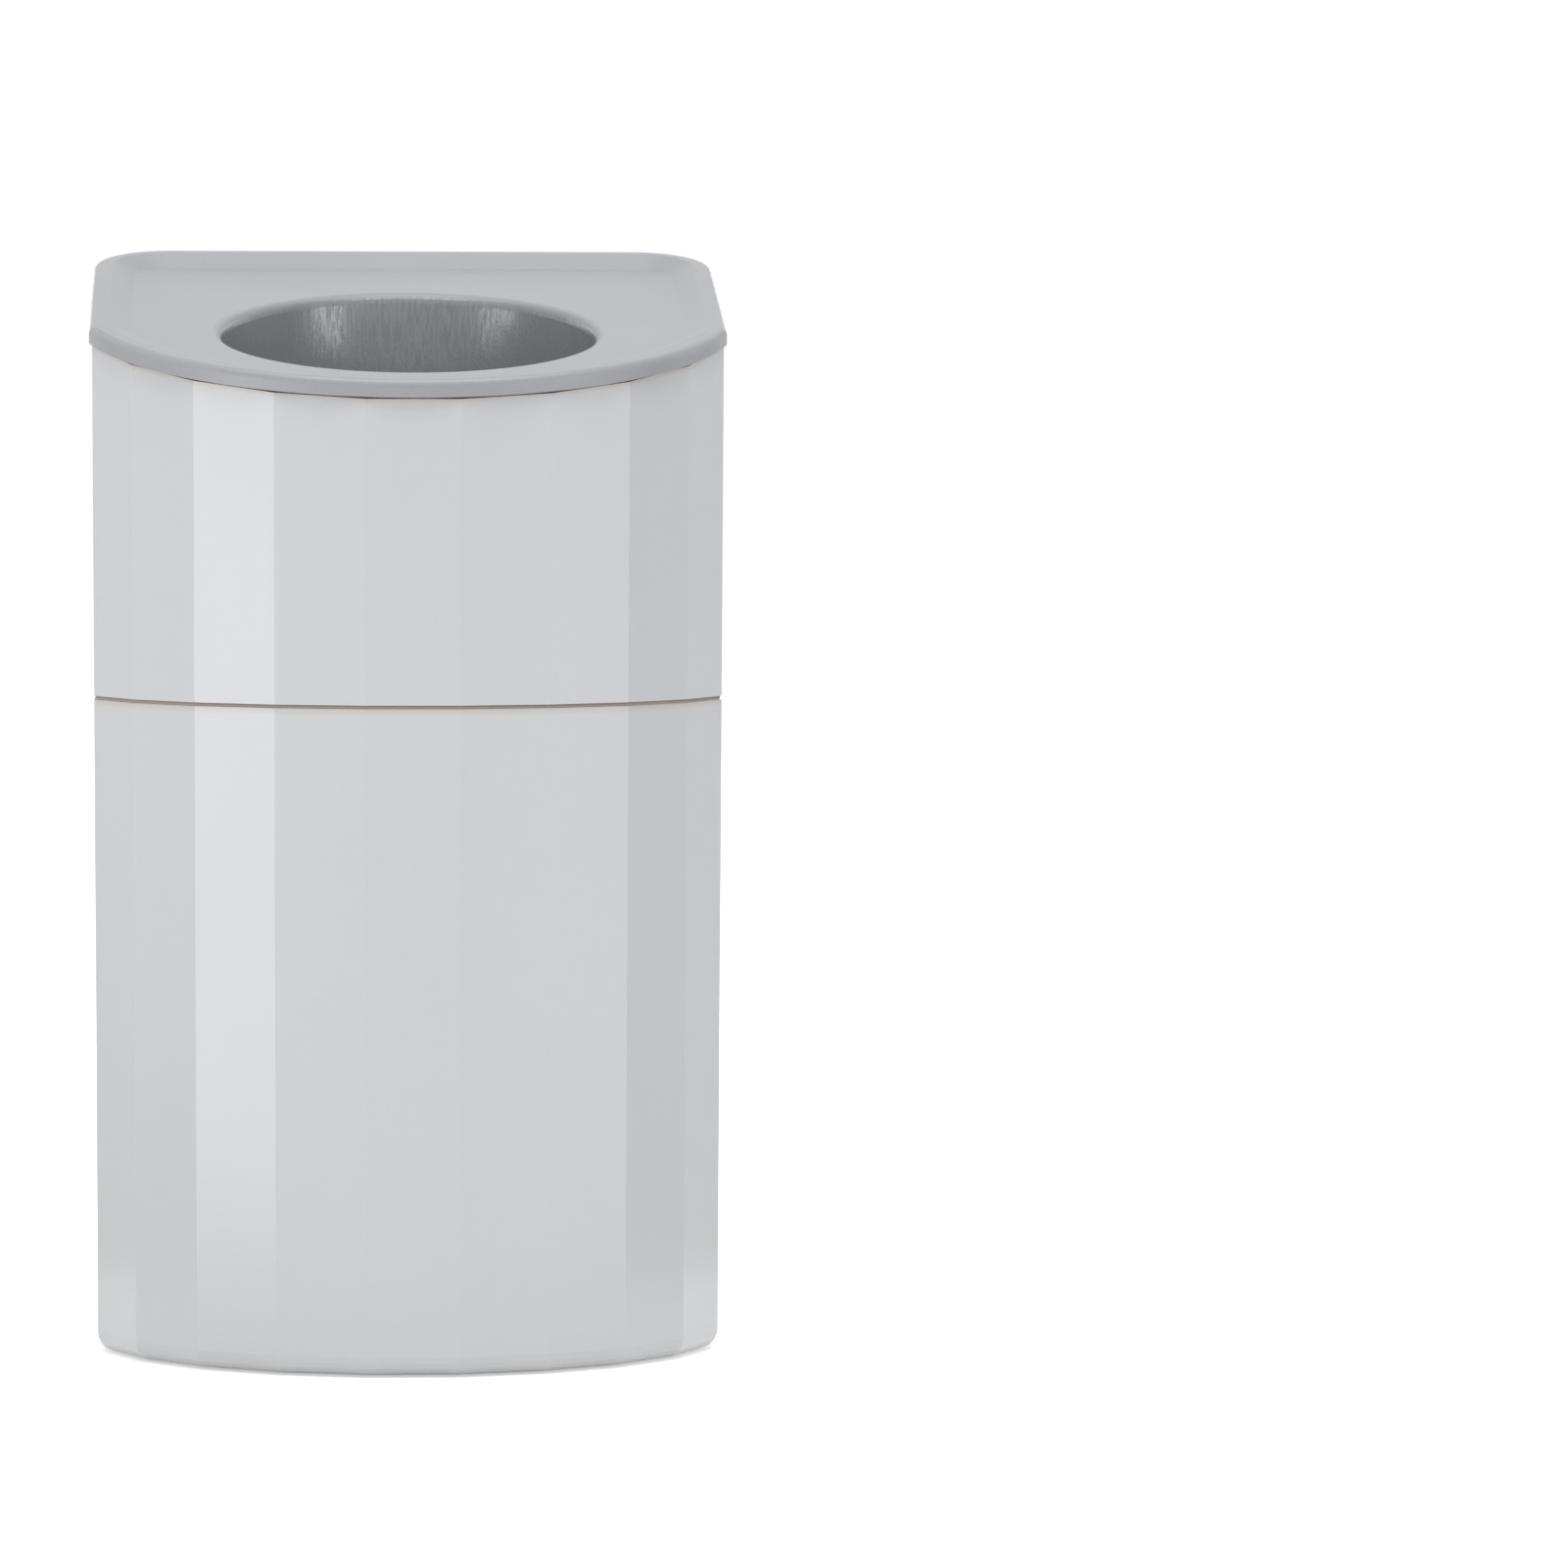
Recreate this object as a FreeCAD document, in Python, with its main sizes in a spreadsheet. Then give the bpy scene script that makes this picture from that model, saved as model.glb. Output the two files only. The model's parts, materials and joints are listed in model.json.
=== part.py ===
import FreeCAD, Part
import math
import os
import re

import Sketcher
from FreeCAD import Placement, Rotation, Vector

# Toothpaste dispenser with a faceted casing, a sloped dished lid and a brush-operated pump.
# Millimetres. +Z is up, the facets face -Y and the wall hook faces +Y.
# The origin is on the base, under the middle of the whole.

FACETS = 9
ROUND_STEPS = 5
INLET_PORTS = 6
PUMP_SCREWS = 4
CAP_FLUTES = 12

# Driving sizes, each a cell of the sheet
SIZES = {
    # Plan of the casing, from the centre of the arc that the facets follow
    "base_radius": 38.0,
    "facet_sweep": 145.5,
    "back_depth": 30.6,
    "corner_radius": 8.7,
    "draft": 0.25,
    "shell": 2.0,
    # Heights of the casing
    "seam_height": 76.5,
    "seam_gap": 0.4,
    "top_height": 120.0,
    "slope": 12.55,
    "base_floor": 2.0,
    "base_round": 2.2,
    "deck": 2.6,
    "spigot_depth": 4.0,
    "spigot_wall": 1.5,
    "spigot_fit": 0.3,
    # Lid
    "lid_overhang": 0.35,
    "lid_edge": 2.0,
    "lid_gap": 0.3,
    "lid_round": 0.9,
    "rim_front": 2.0,
    "rim_side": 2.2,
    "dish_front_run": 1.2,
    "dish_side_run": 2.6,
    "dish_back": 1.4,
    "dish_tilt": 1.0,
    "tab_depth": 3.0,
    "tab_width": 14.0,
    "tab_wall": 1.4,
    "tab_fit": 0.3,
    # Tube well and pump axis
    "well_margin": 1.5,
    "well_radius": 21.7,
    "well_wall": 1.8,
    "lip_round": 1.3,
    "well_lap": 3.5,
    # Tongue, rails and channel on the back
    "tongue_width": 39.0,
    "tongue_low": 8.5,
    "tongue_corner": 3.4,
    "slot_fit": 0.3,
    "slot_corner": 1.9,
    "keeper_lap": 2.2,
    "keeper_wall": 1.3,
    "keeper_fit": 0.3,
    "rail_wall": 1.4,
    "rail_height": 7.0,
    "rail_low": 13.2,
    "rail_top": 126.0,
    "channel_low": 54.0,
    "channel_top": 83.6,
    "channel_wall": 1.6,
    "channel_lip": 3.8,
    "channel_corner": 1.5,
    "step_wall": 2.2,
    "finger_wall": 1.8,
    "finger_top": 92.3,
    "tip_round": 0.6,
    # Wall hook and its sheet
    "hook_fit": 0.3,
    "wing_gap": 1.1,
    "pad_height": 28.4,
    "pad_proud": 0.3,
    "pad_corner": 1.6,
    "pad_round": 0.5,
    "wing_wall": 2.2,
    "neck_width": 21.1,
    "neck_top": 94.2,
    "block_width": 12.2,
    "groove_width": 2.0,
    "groove_depth": 1.1,
    "sheet_width": 62.5,
    "sheet_height": 80.0,
    "sheet_middle": 74.3,
    "sheet_corner": 3.0,
    "sheet_thickness": 0.4,
    # Tube seat and neck gasket
    "seat_radius": 24.2,
    "seat_plate": 2.2,
    "seat_wall": 1.3,
    "seat_fit": 0.2,
    "seat_rim": 12.2,
    "cone_rise": 5.5,
    "cone_skin": 1.8,
    "socket_radius": 8.6,
    "socket_wall": 2.0,
    "socket_depth": 6.4,
    "socket_floor": 1.8,
    "socket_port": 4.2,
    "gasket_bore": 6.6,
    "gasket_flange": 1.0,
    "gasket_lip": 1.6,
    "gasket_bevel": 0.6,
    "seat_touch": 0.05,
    # Pump
    "cylinder_bore": 11.6,
    "cylinder_wall": 2.0,
    "cylinder_flange": 20.2,
    "flange_wall": 2.8,
    "seal_section": 0.6,
    "partition": 2.2,
    "chamber": 20.3,
    "valve_flap": 5.4,
    "flap_thickness": 0.7,
    "valve_stem": 1.2,
    "valve_bulb": 1.7,
    "port_radius": 0.9,
    "port_circle": 3.3,
    "cap_skirt": 4.5,
    "cap_wall": 1.7,
    "cap_floor": 2.8,
    "cap_fit": 0.15,
    "cap_nose": 2.5,
    "flute_radius": 1.2,
    "flute_depth": 0.6,
    "guide_wall": 2.2,
    "wiper_height": 1.4,
    "wiper_width": 1.1,
    "screw_circle": 16.6,
    "screw_radius": 1.45,
    "screw_fit": 0.1,
    "screw_head": 2.7,
    "screw_head_height": 1.8,
    "screw_length": 9.0,
    "boss_radius": 2.8,
    "boss_height": 5.0,
    "boss_roof": 0.8,
    # Plunger
    "run_fit": 0.05,
    "stem_radius": 5.0,
    "stem_bore": 2.6,
    "stem_spigot": 3.8,
    "piston_clear": 0.4,
    "piston_slack": 0.35,
    "crown_slack": 0.8,
    "crown_bevel": 0.6,
    "crown_funnel": 1.2,
    "piston_disc": 1.5,
    "piston_core": 4.0,
    "piston_crown": 1.5,
    "piston_land": 9.4,
    "seal_lip": 0.8,
    "plate_width": 30.0,
    "plate_length": 40.0,
    "plate_thickness": 2.4,
    "plate_low": 6.0,
    "plate_corner": 9.0,
    "tray_depth": 1.0,
    "tray_rim": 1.6,
    "boss_top": 17.0,
    "stem_low": 10.3,
    "collar_wall": 2.6,
    "rib_wall": 1.4,
    "nozzle_radius": 5.6,
    "nozzle_flange": 1.1,
    "nozzle_spigot": 3.15,
    "nozzle_bore": 2.2,
    "nozzle_bevel": 0.7,
    "bill_radius": 2.0,
    "bill_length": 3.6,
    "bill_edge": 0.8,
    "bill_bore": 1.2,
    "bill_neck": 0.4,
    "bill_tip": 1.8,
    "valve_flange": 1.1,
    "valve_lip": 1.3,
    "brush_width": 26.0,
    "brush_length": 36.0,
    "brush_corner": 8.0,
    # Return spring
    "wire_radius": 0.45,
    "coil_radius": 6.9,
    "coil_turns": 9,
    "spring_play": 0.1,
}

# Places that follow from the driving sizes
PLACES = {
    "lid_radius": "base_radius + top_height * tan(draft) + lid_overhang",
    "front_reach": "lid_radius + lid_edge * sin(slope) - lid_round * (cos(slope) + sin(slope) - 1)",
    "back_reach": "back_depth + rail_height + pad_proud + sheet_thickness",
    "arc_y": "(front_reach - back_reach) / 2",
    "back_y": "arc_y + back_depth",
    "rail_y": "back_y + rail_height",
    "axis_y": "arc_y - (base_radius - shell - sleeve_radius - well_margin)",
    "rim_low": "seam_height - seam_gap / 2",
    "deck_low": "seam_height + seam_gap / 2",
    "deck_top": "deck_low + deck",
    "lid_level": "top_height + lid_gap",
    "channel_half": "tongue_width / 2 - rail_wall",
    "pad_half": "channel_half - channel_lip - hook_fit",
    "wing_half": "channel_half - wing_gap",
    "wing_y": "rail_y - channel_wall - hook_fit",
    "pad_top": "channel_top - hook_fit",
    "pad_low": "pad_top - pad_height",
    "sleeve_radius": "well_radius + well_wall",
    "well_low": "deck_top + seat_rim - well_lap",
    "socket_outer": "socket_radius + socket_wall",
    "socket_low": "deck_low - socket_depth",
    "cone_low": "deck_top + cone_skin + 2 * gasket_flange",
    "rim_radius": "well_radius - seat_fit",
    "rim_inner": "rim_radius - seat_wall",
    "gasket_seat": "socket_radius + gasket_lip",
    "recess_low": "socket_low - 2 * seal_section - 2 * seat_touch",
    "chamber_top": "recess_low - partition",
    "cylinder_low": "chamber_top - chamber",
    "cylinder_outer": "cylinder_bore + cylinder_wall",
    "cap_low": "cylinder_low - cap_floor",
    "guide_bore": "stem_radius + run_fit",
    "guide_outer": "guide_bore + guide_wall",
    "guide_top": "cylinder_low + cap_floor",
    "piston_low": "guide_top + piston_clear",
    "core_low": "piston_low + piston_disc",
    "core_top": "core_low + piston_core",
    "piston_top": "core_top + piston_crown",
    "plate_top": "plate_low + plate_thickness",
    "boss_bore": "stem_radius + seat_touch",
    "boss_outer": "boss_bore + collar_wall",
    "valve_low": "stem_low - valve_flange - seat_touch",
    "valve_rim": "stem_bore + valve_lip",
    "bill_low": "valve_low - bill_length",
    "nose_outer": "coil_radius - wire_radius - 2 * cap_fit",
    "wiper_low": "cap_low + (cap_floor - wiper_height) / 2",
    "head_low": "deck_low - flange_wall - screw_head_height",
}

doc = FreeCAD.newDocument("toothpaste_dispenser")
sheet = doc.addObject("Spreadsheet::Sheet", "Sizes")


def fill_sheet():
    """Writes each driving size beside its name and gives its cell that name as an alias."""
    for row, (name, size) in enumerate(SIZES.items(), 1):
        sheet.set(f"A{row}", name)
        sheet.set(f"B{row}", str(size))
        sheet.setAlias(f"B{row}", name)
    doc.recompute()


def formula(text):
    """Turns a formula in plain names into one on the sheet's cells."""
    def swap(match):
        word = match.group(0)
        if word in PLACES:
            return "(" + formula(PLACES[word]) + ")"
        if word in SIZES:
            return "Sizes." + word
        return word
    return re.sub(r"[a-z][a-z_]*", swap, str(text))


def value(text):
    """Works a formula out as a number."""
    return float(sheet.evalExpression(formula(text)))


def new_body(label, x="0", y="0", z="0"):
    """Starts a sub-part with its own placement."""
    body = doc.addObject("PartDesign::Body", label)
    body.Label = label
    for axis, text in zip("xyz", (x, y, z)):
        body.setExpression(f"Placement.Base.{axis}", formula(text))
    return body


def new_sketch(body, name, plane="XY_Plane", level="0", tilt=None, at=("0", "0")):
    """Attaches a sketch to an origin plane, moved along its normal, or tilted about X at a place (y, z)."""
    sketch = body.newObject("Sketcher::SketchObject", name)
    support = [feature for feature in body.Origin.OriginFeatures if feature.Role == plane]
    sketch.AttachmentSupport = [(support[0], "")]
    sketch.MapMode = "FlatFace"
    if tilt is None:
        sketch.setExpression("AttachmentOffset.Base.z", formula(level))
        return sketch
    sketch.AttachmentOffset = Placement(Vector(0, 0, 0), Rotation(Vector(1, 0, 0), value(tilt)))
    sketch.setExpression("AttachmentOffset.Rotation.Angle", formula(tilt))
    sketch.setExpression("AttachmentOffset.Base.y", formula(at[0]))
    sketch.setExpression("AttachmentOffset.Base.z", formula(at[1]))
    return sketch


def bind(sketch, constraint, text):
    """Adds a dimension to a sketch and binds it to a formula."""
    index = sketch.addConstraint(constraint)
    sketch.renameConstraint(index, f"size_{index}")
    sketch.setExpression(f"Constraints.size_{index}", formula(text))


def pin(sketch, geometry, point, x, y):
    """Fixes a point of a sketch at a place given by two formulas."""
    bind(sketch, Sketcher.Constraint("DistanceX", -1, 1, geometry, point, value(x)), x)
    bind(sketch, Sketcher.Constraint("DistanceY", -1, 1, geometry, point, value(y)), y)


def join(sketch, kind, first, first_end, second, second_end):
    """Joins two ends of a sketch's lines or arcs."""
    sketch.addConstraint(Sketcher.Constraint(kind, first, first_end, second, second_end))


def polygon(sketch, corners):
    """Draws a closed outline through corners given by pairs of formulas."""
    points = [Vector(value(x), value(y), 0) for x, y in corners]
    start = sketch.GeometryCount
    count = len(points)
    for index in range(count):
        sketch.addGeometry(Part.LineSegment(points[index], points[(index + 1) % count]), False)
    for index in range(count):
        join(sketch, "Coincident", start + index, 2, start + (index + 1) % count, 1)
    for index, (x, y) in enumerate(corners):
        pin(sketch, start + index, 1, x, y)


def rectangle(sketch, left, right, low, high):
    """Draws a rectangle between four formulas."""
    polygon(sketch, [(left, low), (right, low), (right, high), (left, high)])


def circle(sketch, x, y, radius):
    """Draws a circle."""
    shape = Part.Circle(Vector(value(x), value(y), 0), Vector(0, 0, 1), value(radius))
    index = sketch.addGeometry(shape, False)
    pin(sketch, index, 3, x, y)
    bind(sketch, Sketcher.Constraint("Radius", index, value(radius)), radius)


def rounded(sketch, x, y, wide, high, corner):
    """Draws a rectangle with round corners about a middle, from half its width and half its height."""
    radius = value(corner)
    arcs = []
    for quarter, (side, rise) in enumerate((("", ""), ("-", ""), ("-", "-"), ("", "-"))):
        place = (f"{x} + ({side}({wide} - {corner}))", f"{y} + ({rise}({high} - {corner}))")
        ring = Part.Circle(Vector(value(place[0]), value(place[1]), 0), Vector(0, 0, 1), radius)
        turns = (quarter * math.pi / 2, (quarter + 1) * math.pi / 2)
        arc = sketch.addGeometry(Part.ArcOfCircle(ring, *turns), False)
        pin(sketch, arc, 3, *place)
        bind(sketch, Sketcher.Constraint("Radius", arc, radius), corner)
        arcs.append(arc)
    for arc, following in zip(arcs, arcs[1:] + arcs[:1]):
        ends = (sketch.getPoint(arc, 2), sketch.getPoint(following, 1))
        side = sketch.addGeometry(Part.LineSegment(*ends), False)
        join(sketch, "Tangent", arc, 2, side, 1)
        join(sketch, "Tangent", side, 2, following, 1)


def close_behind(sketch, first, last, side, front, back, corner):
    """Closes an open front with two straight sides, two round corners and a straight back."""
    side_x, front_y, back_y, radius = (value(text) for text in (side, front, back, corner))
    low = Vector(side_x, front_y, 0)
    bend = Vector(side_x, back_y - radius, 0)
    turn = Vector(side_x - radius, back_y, 0)
    flip = [Vector(-point.x, point.y, 0) for point in (low, bend, turn)]
    up = Vector(0, 0, 1)
    right_ring = Part.Circle(Vector(turn.x, bend.y, 0), up, radius)
    left_ring = Part.Circle(Vector(-turn.x, bend.y, 0), up, radius)
    right = sketch.addGeometry(Part.LineSegment(low, bend), False)
    right_arc = sketch.addGeometry(Part.ArcOfCircle(right_ring, 0, math.pi / 2), False)
    behind = sketch.addGeometry(Part.LineSegment(turn, flip[2]), False)
    left_arc = sketch.addGeometry(Part.ArcOfCircle(left_ring, math.pi / 2, math.pi), False)
    left = sketch.addGeometry(Part.LineSegment(flip[1], flip[0]), False)
    join(sketch, "Coincident", last, 2, right, 1)
    join(sketch, "Tangent", right, 2, right_arc, 1)
    join(sketch, "Tangent", right_arc, 2, behind, 1)
    join(sketch, "Tangent", behind, 2, left_arc, 1)
    join(sketch, "Tangent", left_arc, 2, left, 1)
    join(sketch, "Coincident", left, 2, first, 1)
    sketch.addConstraint(Sketcher.Constraint("Vertical", right))
    sketch.addConstraint(Sketcher.Constraint("Vertical", left))
    sketch.addConstraint(Sketcher.Constraint("Horizontal", behind))
    for arc in (right_arc, left_arc):
        bind(sketch, Sketcher.Constraint("Radius", arc, radius), corner)
    bind(sketch, Sketcher.Constraint("DistanceY", -1, 1, behind, 1, back_y), back)


def case_outline(sketch, height, inset="0"):
    """Draws the plan of the casing at a height: facets in front, round corners behind."""
    reach = f"(base_radius + ({height}) * tan(draft) - ({inset}))"
    turns = [f"(facet_sweep * ({index} / {FACETS} - 0.5))" for index in range(FACETS + 1)]
    corners = [(f"{reach} * sin{turn}", f"arc_y - {reach} * cos{turn}") for turn in turns]
    points = [Vector(value(x), value(y), 0) for x, y in corners]
    first = sketch.GeometryCount
    for index in range(FACETS):
        sketch.addGeometry(Part.LineSegment(points[index], points[index + 1]), False)
    for index in range(FACETS - 1):
        join(sketch, "Coincident", first + index, 2, first + index + 1, 1)
    for index in range(FACETS):
        pin(sketch, first + index, 1, *corners[index])
    pin(sketch, first + FACETS - 1, 2, *corners[FACETS])
    back = f"back_y - ({inset})"
    corner = f"corner_radius - ({inset})"
    close_behind(sketch, first, first + FACETS - 1, corners[FACETS][0], corners[FACETS][1], back, corner)


def lid_outline(sketch, front_inset="0", side_inset="0"):
    """Draws the lid's outline in its sloped plane: one round front, round corners behind."""
    side = f"lid_radius * sin(facet_sweep / 2) - ({side_inset})"
    shoulder = "-lid_radius * cos(facet_sweep / 2) / cos(slope)"
    nose = f"(({front_inset}) - lid_radius) / cos(slope)"
    bulge = f"(({shoulder}) - ({nose}))"
    radius = f"(({side}) * ({side}) + {bulge} * {bulge}) / (2 * {bulge})"
    half = value(side)
    ends = [Vector(x, value(shoulder), 0) for x in (-half, half)]
    front = sketch.addGeometry(Part.Arc(ends[0], Vector(0, value(nose), 0), ends[1]), False)
    pin(sketch, front, 1, f"-({side})", shoulder)
    pin(sketch, front, 2, side, shoulder)
    bind(sketch, Sketcher.Constraint("Radius", front, value(radius)), radius)
    back = f"(back_depth + lid_overhang - ({side_inset})) / cos(slope)"
    corner = f"corner_radius + lid_overhang - ({side_inset})"
    close_behind(sketch, front, front, side, shoulder, back, corner)


def pad(body, name, sketch, length, reverse=False):
    """Pads a sketch along its normal, or against it."""
    feature = body.newObject("PartDesign::Pad", name)
    feature.Profile = sketch
    feature.Reversed = reverse
    feature.setExpression("Length", formula(length))
    doc.recompute()
    return feature


def cut_check(body, feature, before):
    """Stops when a cut has taken nothing away."""
    doc.recompute()
    if feature.Shape.Volume > before - 0.01:
        raise RuntimeError(f"{body.Label}: {feature.Name} cuts nothing")
    return feature


def pocket(body, name, sketch, length=None, reverse=False):
    """Cuts a sketch against its normal, or along it, or right through both ways where no length is given."""
    before = body.Shape.Volume
    feature = body.newObject("PartDesign::Pocket", name)
    feature.Profile = sketch
    feature.Reversed = reverse
    if length is None:
        feature.Type = "ThroughAll"
        feature.SideType = "Symmetric"
    else:
        feature.setExpression("Length", formula(length))
    return cut_check(body, feature, before)


def loft(body, name, low, *above, cut=False):
    """Lofts straight from one sketch through others, as a solid or as a cut."""
    before = body.Shape.Volume if cut else 0
    kind = "PartDesign::SubtractiveLoft" if cut else "PartDesign::AdditiveLoft"
    feature = body.newObject(kind, name)
    feature.Profile = low
    feature.Sections = list(above)
    feature.Ruled = True
    doc.recompute()
    if cut:
        return cut_check(body, feature, before)
    return feature


def revolve(body, name, sketch):
    """Turns a profile about the upright axis of its sketch."""
    feature = body.newObject("PartDesign::Revolution", name)
    feature.Profile = sketch
    feature.ReferenceAxis = (sketch, ["V_Axis"])
    feature.Angle = 360
    doc.recompute()
    return feature


def turned(label, corners):
    """Makes a body on the pump axis by turning a profile of (radius, height) formulas."""
    body = new_body(label, y="axis_y")
    sketch = new_sketch(body, f"{label}_profile", "XZ_Plane")
    polygon(sketch, corners)
    revolve(body, f"{label}_turned", sketch)
    return body


def round_edges(body, name, radius, test):
    """Rounds the edges of a body's last feature that pass a test."""
    doc.recompute()
    base = body.Tip
    names = [f"Edge{number}" for number, edge in enumerate(base.Shape.Edges, 1) if test(edge)]
    if not names:
        raise RuntimeError(f"{body.Label}: {name} finds no edge")
    feature = body.newObject("PartDesign::Fillet", name)
    feature.Base = (base, names)
    feature.setExpression("Radius", formula(radius))
    doc.recompute()
    return feature


def straight_along(axis, places, reach=0.05):
    """Makes a test for straight edges along an axis whose other two coordinates are near a place."""
    others = [index for index in range(3) if index != axis]
    spots = [tuple(value(text) for text in place) for place in places]

    def test(edge):
        if len(edge.Vertexes) != 2:
            return False
        ends = [vertex.Point for vertex in edge.Vertexes]
        if any(abs(ends[0][index] - ends[1][index]) > reach for index in others):
            return False
        here = [ends[0][index] for index in others]
        return any(math.dist(here, spot) < reach for spot in spots)
    return test


def both_sides(places):
    """Repeats places on the other side of the middle plane."""
    return places + [(f"-({x})", z) for x, z in places]


def make_lower_casing():
    """The faceted cover: rounded base, brush opening in its floor, slot for the tongue in its back."""
    body = new_body("lower_casing")
    sections = []
    for step in range(ROUND_STEPS + 1):
        turn = f"({90 * step / ROUND_STEPS})"
        height = f"base_round * (1 - cos{turn})"
        section = new_sketch(body, f"cover_round_{step}", level=height)
        case_outline(section, height, f"base_round * (1 - sin{turn})")
        sections.append(section)
    rim = new_sketch(body, "cover_rim", level="rim_low")
    case_outline(rim, "rim_low")
    loft(body, "cover_outside", *sections, rim)
    inside_low = new_sketch(body, "cover_inside_low", level="base_floor")
    case_outline(inside_low, "base_floor", "shell")
    inside_top = new_sketch(body, "cover_inside_top", level="rim_low")
    case_outline(inside_top, "rim_low", "shell")
    loft(body, "cover_inside", inside_low, inside_top, cut=True)
    slot = new_sketch(body, "cover_slot", "XZ_Plane", "shell * 2 - back_y")
    half = "tongue_width / 2 + slot_fit"
    rectangle(slot, f"-({half})", half, "tongue_low - slot_fit", "rim_low + shell")
    pocket(body, "cover_slot_cut", slot, "shell * 3")
    low_corners = both_sides([(half, "tongue_low - slot_fit")])
    round_edges(body, "cover_slot_round", "slot_corner", straight_along(1, low_corners))
    brush = new_sketch(body, "cover_brush", level="base_floor * 2")
    rounded(brush, "0", "axis_y", "brush_width / 2", "brush_length / 2", "brush_corner")
    pocket(body, "cover_brush_cut", brush, "base_floor * 3")
    return body


def add_back(body):
    """Adds the tongue, the rails and the hook's channel to the back of the upper casing."""
    half = "tongue_width / 2"
    tongue = new_sketch(body, "tongue", "XZ_Plane", "-back_y")
    rectangle(tongue, f"-{half}", half, "tongue_low", "deck_top")
    pad(body, "tongue_plate", tongue, "shell + keeper_fit + keeper_wall / 2")
    round_edges(body, "tongue_round", "tongue_corner", straight_along(1, both_sides([(half, "tongue_low")])))
    keeper = new_sketch(body, "keeper", "XZ_Plane", "shell + keeper_fit - back_y")
    lap = f"{half} + keeper_lap"
    rectangle(keeper, f"-({lap})", lap, "tongue_low + tongue_corner", "deck_top")
    pad(body, "tongue_keeper", keeper, "keeper_wall")
    inner = "channel_half"
    rails = new_sketch(body, "rails", "XZ_Plane", "-rail_y")
    rectangle(rails, inner, half, "rail_low", "rail_top")
    rectangle(rails, f"-{half}", f"-{inner}", "rail_low", "rail_top")
    pad(body, "back_rails", rails, "rail_height + shell / 2")
    rail_ends = both_sides([(half, "rail_top"), (inner, "rail_top")])
    round_edges(body, "rail_top_round", "tip_round", straight_along(1, rail_ends))
    finger = "neck_width / 2 + hook_fit"
    steps = new_sketch(body, "steps", "XZ_Plane", "-rail_y")
    for sign in ("", "-"):
        polygon(steps, [(f"{sign}({x})", z) for x, z in (
            (finger, "channel_top"),
            (f"{inner} + rail_wall / 2", "channel_top"),
            (f"{inner} + rail_wall / 2", "channel_top + step_wall"),
            (f"{finger} + finger_wall", "channel_top + step_wall"),
            (f"{finger} + finger_wall", "finger_top"),
            (finger, "finger_top"))])
    pad(body, "hook_steps", steps, "rail_height + shell / 2")
    finger_tops = both_sides([(finger, "finger_top"), (f"{finger} + finger_wall", "finger_top")])
    round_edges(body, "finger_round", "tip_round", straight_along(1, finger_tops))
    lips = new_sketch(body, "lips", "XZ_Plane", "-rail_y")
    lip = "channel_half - channel_lip"
    for sign in ("", "-"):
        polygon(lips, [(f"{sign}({x})", z) for x, z in (
            (lip, "channel_low"),
            (f"{inner} + rail_wall / 2", "channel_low"),
            (f"{inner} + rail_wall / 2", "channel_top + step_wall / 2"),
            (lip, "channel_top + step_wall / 2"))])
    pad(body, "channel_lips", lips, "channel_wall")
    lip_ends = both_sides([(lip, "channel_low")])
    round_edges(body, "channel_round", "channel_corner", straight_along(1, lip_ends))


def make_upper_casing():
    """The faceted shell with its deck, sloped top edge, spigot, and all that is moulded on its back."""
    body = new_body("upper_casing")
    high = "top_height + back_depth"
    low = new_sketch(body, "case_low", level="deck_low")
    case_outline(low, "deck_low")
    top = new_sketch(body, "case_top", level=high)
    case_outline(top, high)
    loft(body, "case_outside", low, top)
    inside_low = new_sketch(body, "case_inside_low", level="deck_top")
    case_outline(inside_low, "deck_top", "shell")
    inside_top = new_sketch(body, "case_inside_top", level=high)
    case_outline(inside_top, high, "shell")
    loft(body, "case_inside", inside_low, inside_top, cut=True)
    slope = new_sketch(body, "case_slope", "YZ_Plane")
    reach = "2 * base_radius"
    fall = f"{reach} * tan(slope)"
    polygon(slope, [
        (f"arc_y - {reach}", f"top_height - {fall}"),
        (f"arc_y + {reach}", f"top_height + {fall}"),
        (f"arc_y + {reach}", f"{high} + {reach}"),
        (f"arc_y - {reach}", f"{high} + {reach}")])
    pocket(body, "case_slope_cut", slope)
    spigot = new_sketch(body, "spigot", level="deck_low + deck / 2")
    case_outline(spigot, "rim_low - spigot_depth", "shell + spigot_fit")
    case_outline(spigot, "rim_low - spigot_depth", "shell + spigot_fit + spigot_wall")
    pad(body, "case_spigot", spigot, "spigot_depth + deck / 2", reverse=True)
    add_back(body)
    holes = new_sketch(body, "deck_holes", level="deck_top")
    circle(holes, "0", "axis_y", "socket_outer + seat_fit")
    for place in screw_places("axis_y"):
        circle(holes, *place, "screw_radius + screw_fit")
    pocket(body, "deck_hole_cut", holes, "deck * 1.5")
    return body


def on_lid_plane(lift):
    """Makes a test for edges of the lid's outer edge, on a plane parallel to its slope."""
    tilt = math.radians(value("slope"))
    start = Vector(0, value("arc_y"), value("lid_level"))
    normal = Vector(0, -math.sin(tilt), math.cos(tilt))
    axis = Vector(0, value("axis_y"), 0)
    far = value("sleeve_radius") + 1

    def test(edge):
        points = [vertex.Point for vertex in edge.Vertexes]
        flat = all(abs((point - start).dot(normal) - value(lift)) < 0.01 for point in points)
        return flat and all(math.hypot(point.x, point.y - axis.y) > far for point in points)
    return test


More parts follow.
